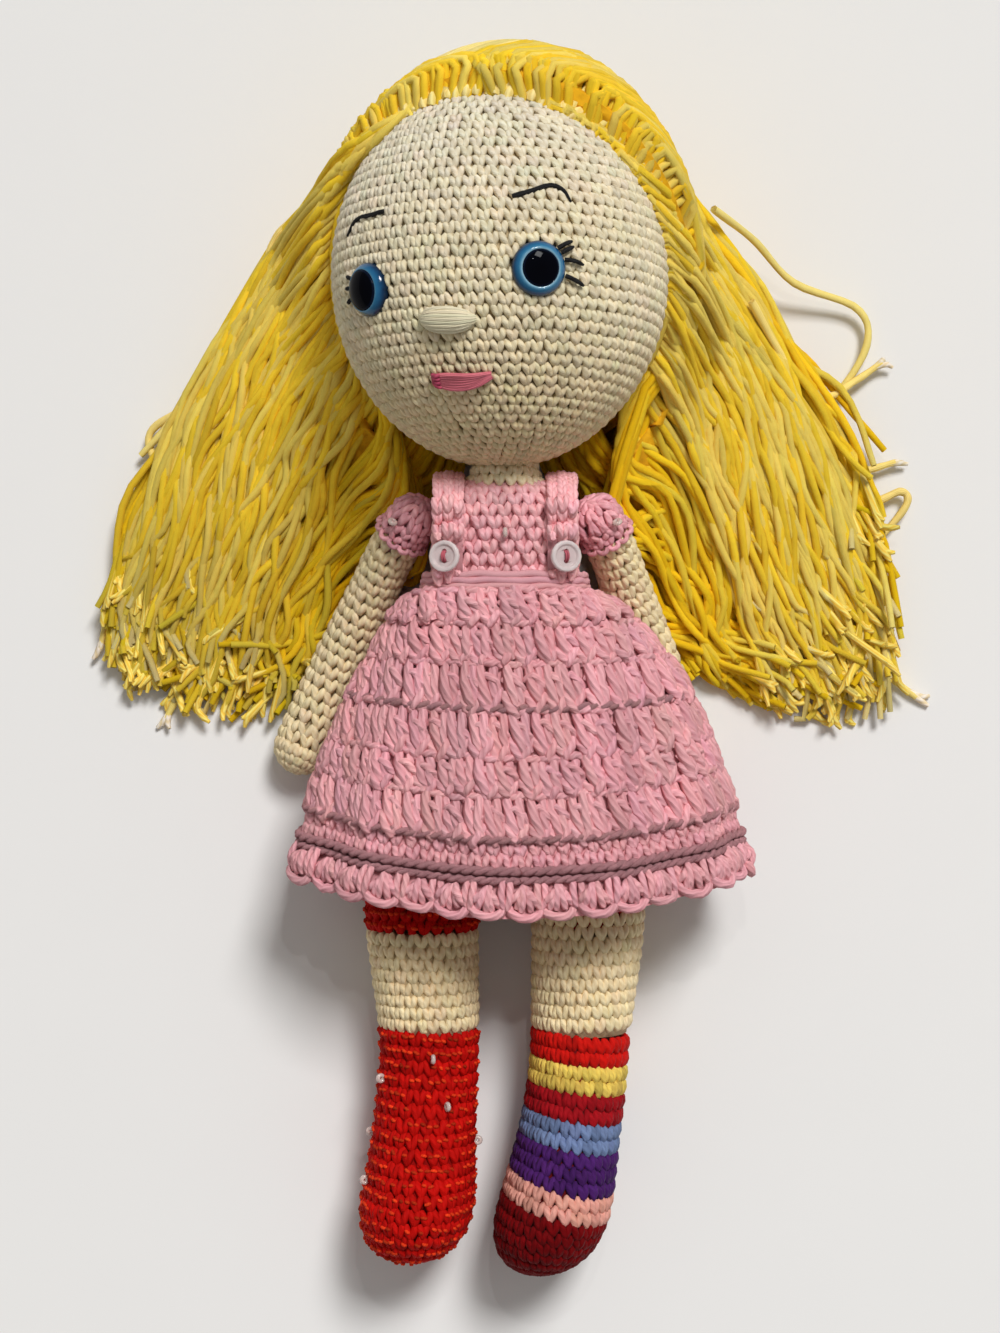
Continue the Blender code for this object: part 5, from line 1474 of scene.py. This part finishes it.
def glossFinish(name, stops, rough=0.08, coat=0.8, seeThrough=0.0, speck=0.06, bend=1.36):
    # moulded plastic, coloured from its middle to its rim through the piece's own UV map
    made, nodes, links, shader = newMaterial(name, rough)
    where = nodes.new("ShaderNodeTexCoord").outputs["Object"]
    mapped = nodes.new("ShaderNodeUVMap")
    mapped.uv_map = "UVMap"
    parts = nodes.new("ShaderNodeSeparateXYZ")
    links.new(mapped.outputs["UV"], parts.inputs[0])
    ramp = nodes.new("ShaderNodeValToRGB")
    while len(ramp.color_ramp.elements) < len(stops):
        ramp.color_ramp.elements.new(0.5)
    for element, (at, shade) in zip(ramp.color_ramp.elements, stops):
        element.position = at
        element.color = (*shade, 1)
    fuzz = noiseNode(nodes, links, where, 900.0, 3.0, 0.6)
    moved = mathNode(nodes, links, "ADD", parts.outputs["Y"],
                     mathNode(nodes, links, "MULTIPLY_ADD", fuzz, speck, -speck / 2))
    links.new(moved, ramp.inputs["Fac"])
    cloud = mathNode(nodes, links, "MULTIPLY_ADD", noiseNode(nodes, links, where, 260.0), 0.3, 0.85)
    links.new(mixColour(nodes, links, "MULTIPLY", 1.0, ramp.outputs["Color"], cloud), shader.inputs["Base Color"])
    links.new(mathNode(nodes, links, "MULTIPLY_ADD", fuzz, 0.06, rough, clamp=True), shader.inputs["Roughness"])
    shader.inputs["Coat Weight"].default_value = coat
    shader.inputs["Coat Roughness"].default_value = 0.02
    shader.inputs["Coat IOR"].default_value = bend
    shader.inputs["Specular IOR Level"].default_value = 0.1 if bend > 1.3 else 0.0
    shader.inputs["Transmission Weight"].default_value = seeThrough
    bump = nodes.new("ShaderNodeBump")
    bump.inputs["Strength"].default_value = 0.05
    bump.inputs["Distance"].default_value = 0.1 * mm
    links.new(fuzz, bump.inputs["Height"])
    links.new(bump.outputs["Normal"], shader.inputs["Normal"])
    return made


def turnedForm(name, profile, place, normal, finish, body, steps=48):
    # a body of revolution: profile points are (radius, height) in mm, pole to pole
    shape = bmesh.new()
    verts = [shape.verts.new((radius * mm, 0, height * mm)) for radius, height in profile]
    edges = [shape.edges.new(pair) for pair in zip(verts[:-1], verts[1:])]
    bmesh.ops.spin(shape, geom=verts + edges, cent=(0, 0, 0), axis=(0, 0, 1), dvec=(0, 0, 0), angle=whole,
                   steps=steps, use_merge=True)
    bmesh.ops.remove_doubles(shape, verts=shape.verts, dist=0.001 * mm)
    bmesh.ops.recalc_face_normals(shape, faces=shape.faces)
    layer = shape.loops.layers.uv.new("UVMap")
    widest = max(point[0] for point in profile)
    for flat in shape.faces:
        flat.smooth = True
        for loop in flat.loops:
            co = loop.vert.co / mm
            loop[layer].uv = (math.atan2(co.y, co.x) / whole, math.hypot(co.x, co.y) / widest)
    facing = Vector(normal).to_track_quat("Z", "Y").to_matrix().to_4x4()
    bmesh.ops.transform(shape, matrix=Matrix.Translation(Vector(place) * mm) @ facing, verts=shape.verts)
    mesh = bpy.data.meshes.new(name)
    shape.to_mesh(mesh)
    shape.free()
    mesh.materials.append(finish)
    made = asObject(name, mesh)
    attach(made, body)
    return made


face = {
    "eyes": {"left": (31.0, -6.6), "right": (-31.0, -9.8)},  # turn and rise on the head, degrees
    "eyeRadius": 6.0, "eyeEdge": 0.8, "eyeDome": 4.2, "eyeSeat": -1.2,
    "pupilRadius": {"left": 3.95, "right": 4.4},
    "thread": 1.0, "threadLift": 0.8, "lashFrom": 5.8,
    "lashes": {  # turn about the eye at the root and at the tip, degrees, and how far out the tip is, mm
        "left": ((48, 40, 9.3), (36, 33, 8.9), (20, 6.5, 9.9), (-13, -18, 10.6)),
        "right": ((148, 150, 7.4), (169, 171, 7.2), (193, 196, 7.4)),
    },
    "brows": {
        "left": ((1.44, 103.5, 84.4), (5.4, 104.7, 83.6), (9.65, 106.3, 82.2), (12.5, 105.4, 81.6),
                 (14.23, 102.8, 81.4)),
        "right": ((-26.74, 102.18, 75.0), (-29.6, 101.9, 72.2), (-32.4, 102.0, 68.6), (-34.0, 101.0, 66.6),
                  (-35.49, 98.6, 64.9)),
    },
    "nose": ((0.0, -20.5), 6.3, 2.7, 2.3),  # place on the face, half wide, half high, how far it stands out
    "mouth": ((3.0, -38.8), 6.6),
}
plastics = {
    "iris": glossFinish("irisPlastic",
                        ((0.0, tone(6, 10, 18)), (0.66, tone(8, 20, 34)), (0.69, tone(140, 178, 196)),
                         (0.75, tone(84, 136, 164)),
                                        (0.81, tone(38, 104, 142)), (0.9, tone(24, 82, 122)),
                                        (0.97, tone(12, 50, 84)), (1.0, tone(6, 28, 50)))),
    # painted reflection: the pupil turns navy towards its rim
    "pupil": glossFinish("pupilPlastic", ((0.0, tone(4, 4, 8)), (0.9, tone(5, 6, 12)), (1.0, tone(14, 24, 44))),
                         rough=0.03, coat=0.7, bend=1.14),
    "washer": glossFinish("washerPlastic", ((0.0, tone(40, 40, 42)), (1.0, tone(70, 70, 72))), rough=0.35, coat=0.0),
    # painted highlight: the button is lighter towards its rim
    "button": glossFinish("buttonPlastic",
                          ((0.0, tone(226, 206, 206)), (0.7, tone(232, 216, 214)), (1.0, tone(244, 234, 232))),
                          rough=0.16, seeThrough=0.35),
    "bead": glossFinish("beadPlastic", ((0.0, tone(236, 214, 206)), (1.0, tone(240, 222, 214))), rough=0.1,
                        seeThrough=0.45),
}


def faceFrame(place, normal):
    across = np.cross((0, 1.0, 0), normal)
    across /= np.linalg.norm(across)
    return place, across, np.cross(normal, across), normal


def besideEye(side, turn, reach, lift):
    place, normal = facePoint(*face["eyes"][side], face["eyeSeat"])
    _, across, up, _ = faceFrame(place, normal)
    angle = math.radians(turn)
    halves, centre = np.array(head["halves"]), np.array(head["centre"])
    share = (place + (across * math.cos(angle) + up * math.sin(angle)) * reach - centre) / halves
    share /= np.linalg.norm(share)
    away = share / halves
    return centre + share * halves + away / np.linalg.norm(away) * lift


def domeHeight(radius):
    share = radius / face["eyeRadius"]
    return face["eyeEdge"] + (face["eyeDome"] - face["eyeEdge"]) * math.sqrt(max(1 - share * share, 0))


def makeEyes():
    for side, spot in face["eyes"].items():
        place, normal = facePoint(*spot, face["eyeSeat"])
        rim, hole = face["eyeRadius"], face["pupilRadius"][side] + 0.12
        ring = [(0.0, -0.4), (rim - 0.3, -0.4), (rim, -0.1), (rim, face["eyeEdge"] * 0.7)]
        ring += [(rim * share, domeHeight(rim * share)) for share in (0.995, 0.98, 0.95, 0.91, 0.86, 0.81, 0.765)]
        floor = domeHeight(hole) - 0.7
        ring += [(hole, domeHeight(hole) - 0.1), (hole, floor), (0.0, floor)]
        made = turnedForm(side + "_eye_ring", ring, place, normal, plastics["iris"], "head_part")
        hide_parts(side + "_eye")
        wide = face["pupilRadius"][side]
        dome = [(0.0, floor + 0.05), (wide, floor + 0.05), (wide, domeHeight(wide) - 0.08)]
        dome += [(wide * share, domeHeight(wide * share)) for share in (0.97, 0.9, 0.78, 0.62, 0.44, 0.24,
                                                                        0.1)] + [(0.0, domeHeight(0))]
        made = turnedForm(side + "_pupil_dome", dome, place, normal, plastics["pupil"], "head_part")
        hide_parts(side + "_pupil")
        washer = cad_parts[side + "_eye_washer"]
        for slot in washer.material_slots:
            slot.material = plastics["washer"]
        lashes = []
        for first, last, reach in face["lashes"][side]:
            ends = [besideEye(side, first + (last - first) * share,
                              face["lashFrom"] + (reach - face["lashFrom"]) * share,
                              face["threadLift"] + 0.3 * math.sin(share * math.pi)) for share in (0, 0.35, 0.7, 1)]
            lashes.append(smoothPath(np.array(ends)[None], 8)[0])
        made = yarnPiece(side + "_lashes",
                         [(np.array(lashes), face["thread"], (1, 1, 1, 1, 1, 0.95, 0.85, 0.6),
                           shadeOf(len(lashes), 0.02))],
                         finishes["blackThread"], "head_part")
        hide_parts(*[f"{side}_lash_{i + 1}" for i in range(len(lashes))])
        route = smoothPath(np.array(face["brows"][side])[None], 22)
        swell = tuple(np.interp(np.linspace(0, 1, 22), (0, 0.08, 0.5, 0.8, 1), (0.9, 1.2, 1.1, 0.85, 0.5)))
        made = yarnPiece(side + "_brow_thread", [(route, face["thread"], swell, shadeOf(1, 0.02))],
                         finishes["blackThread"], "head_part")
        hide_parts(side + "_brow")


def makeNoseAndMouth():
    spot, wide, high, proud = face["nose"]
    frames = [np.array([v]) for v in faceFrame(*facePoint(*spot))]
    lines = []
    for level in np.linspace(-0.92, 0.92, 8):
        run = np.linspace(-1, 1, 12)
        reach = 1 - 0.14 * level * level
        arch = np.sqrt(np.maximum(1 - run ** 2, 0)) * math.sqrt(1 - level * level * 0.8)
        lines.append(np.stack((run * wide * reach, level * high * np.sqrt(1 - (0.92 * run) ** 2) - 0.35 * run,
                               arch * proud - 0.9 * np.abs(run) ** 4), 1))
    paths = np.concatenate([toWorld(frames, line[None]) for line in lines])
    made = yarnPiece("nose_strands", [(paths, 1.25, (0.8,) + (1,) * 10 + (0.8,), shadeOf(len(lines), 0.05))],
                     finishes["noseThread"], "head_part")
    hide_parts("nose")
    spot, wide = face["mouth"]
    frames = [np.array([v]) for v in faceFrame(*facePoint(*spot))]
    lines = []
    for level in np.linspace(-1, 1, 6):
        lines.append(smoothPath(np.array([(-wide, level * 0.55 + 0.3, 0.0), (-wide * 0.55, level * 1.55, 0.95),
                                          (0.0, level * 1.6 - 0.15, 1.25),
                                          (wide * 0.5, level * 1.2 + 0.05, 1.0),
                                          (wide * 1.0, level * 0.45 + 0.6, -0.1)])[None], 11)[0])
    paths = np.concatenate([toWorld(frames, line[None]) for line in lines])
    corner = np.concatenate([toWorld(frames,
                                     smoothPath(np.array([(-wide * 1.04, level * 0.8 + 0.4, -0.1),
                                                          (-wide * 0.9, level * 1.2 + 0.2, 0.9),
                                                                   (-wide * 0.72, level * 1.5, 0.9)])[None],
                                                                   5)) for level in (-1, -0.3, 0.4, 1)])
    groups = [(paths, 1.15, (0.85,) + (1,) * 9 + (0.85,), shadeOf(len(lines), 0.14)),
              (corner, 1.1, (0.9, 1, 1, 1, 0.6), shadeOf(4, 0.05, (0.74, 0.4, 0.62)))]
    made = yarnPiece("mouth_strands", groups, finishes["mouthThread"], "head_part")
    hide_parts("mouth")


def moulded(node, name, finish, body, smooth, settle=None, share=None):
    # a moulded piece on the frame's own form, its facets rounded off
    made = innerForm(node, name, finish, -0.22 if smooth else 0.0)
    box = np.array([v.co for v in made.data.vertices])
    if settle is not None:
        toAxis = np.array(settle) * mm - (box.max(0) + box.min(0)) / 2
        box += toAxis * share if share else toAxis / np.linalg.norm(toAxis) * 0.8 * mm
        made.data.vertices.foreach_set("co", box.ravel())
    layer = made.data.uv_layers.new(name="UVMap")
    middle = (box.max(0) + box.min(0)) / 2
    reach = np.linalg.norm(box - middle, axis=1).max()
    for loop in made.data.loops:
        layer.data[loop.index].uv = (0.5, np.linalg.norm(box[loop.vertex_index] - middle) / reach)
    if smooth:
        rounding = made.modifiers.new("rounding", "SUBSURF")
        rounding.levels = rounding.render_levels = smooth
    else:
        rounding = made.modifiers.new("rounding", "BEVEL")
        rounding.width = 0.12 * mm
        rounding.segments = 2
        rounding.limit_method = "ANGLE"
    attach(made, body)
    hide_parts(node)
    return made


def makeButtonsAndBeads():
    for side, sign in (("left", 1), ("right", -1)):
        moulded(side + "_button", side + "_button_disc", plastics["button"], "body", 0)
        low, high = (np.array(corner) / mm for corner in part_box(side + "_button_thread"))
        middle = (low + high) / 2
        normal = np.array((sign * 0.309, 0, 0.9511))
        loops = []
        for shift in (-0.25, 0.25):
            turn = np.linspace(0, whole * 1.05, 26)
            loops.append(middle + np.stack((0 * turn + shift, np.cos(turn) * 1.15, 0 * turn),
                                           1) + normal * (np.sin(turn) * 1.45)[:, None])
        made = yarnPiece(side + "_button_tie",
                         [(np.array(loops), 0.55, (1.0,) * 26, shadeOf(2, 0.03) * (0.8, 0.5, 0.55))],
                         finishes["pinkThread"], "body")
        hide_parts(side + "_button_thread")
        moulded(side + "_sleeve_bead", side + "_sleeve_bead_ring", plastics["bead"],
                side + "_arm_part", 1, (sign * 26.6, 36.2, 38.6), 1.0)
    moulded("bodice_bead", "bodice_bead_ring", plastics["bead"], "body", 1)
    for number in range(1, 7):
        height = sum(corner[1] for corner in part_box(f"boot_bead_{number}")) / 2 / mm
        moulded(f"boot_bead_{number}", f"boot_bead_ring_{number}", plastics["bead"], "right_leg_part",
                1, (-20.0, height, 17.5))


makeEyes()
makeNoseAndMouth()
makeButtonsAndBeads()
print("face, buttons and beads set")


# floor
def makeFloor():
    made, nodes, links, shader = newMaterial("paleFloor", 0.95)
    where = nodes.new("ShaderNodeTexCoord").outputs["Object"]
    parts = nodes.new("ShaderNodeSeparateXYZ")
    links.new(where, parts.inputs[0])
    even = mathNode(nodes, links, "MULTIPLY_ADD", parts.outputs["Y"], -0.26, 1.025)
    even = mathNode(nodes, links, "MULTIPLY", even,
                    mathNode(nodes, links, "MULTIPLY_ADD", noiseNode(nodes, links, where, 30.0), 0.02, 0.99))
    links.new(mixColour(nodes, links, "MULTIPLY", 1.0, shot["floorTone"], even), shader.inputs["Base Color"])
    shader.inputs["Specular IOR Level"].default_value = 0.0
    shape = bmesh.new()
    bmesh.ops.create_grid(shape, x_segments=1, y_segments=1, size=1.6)
    mesh = bpy.data.meshes.new("floor")
    shape.to_mesh(mesh)
    shape.free()
    mesh.materials.append(made)
    floor = asObject("floor", mesh)
    floor.location.z = -0.0002


makeFloor()
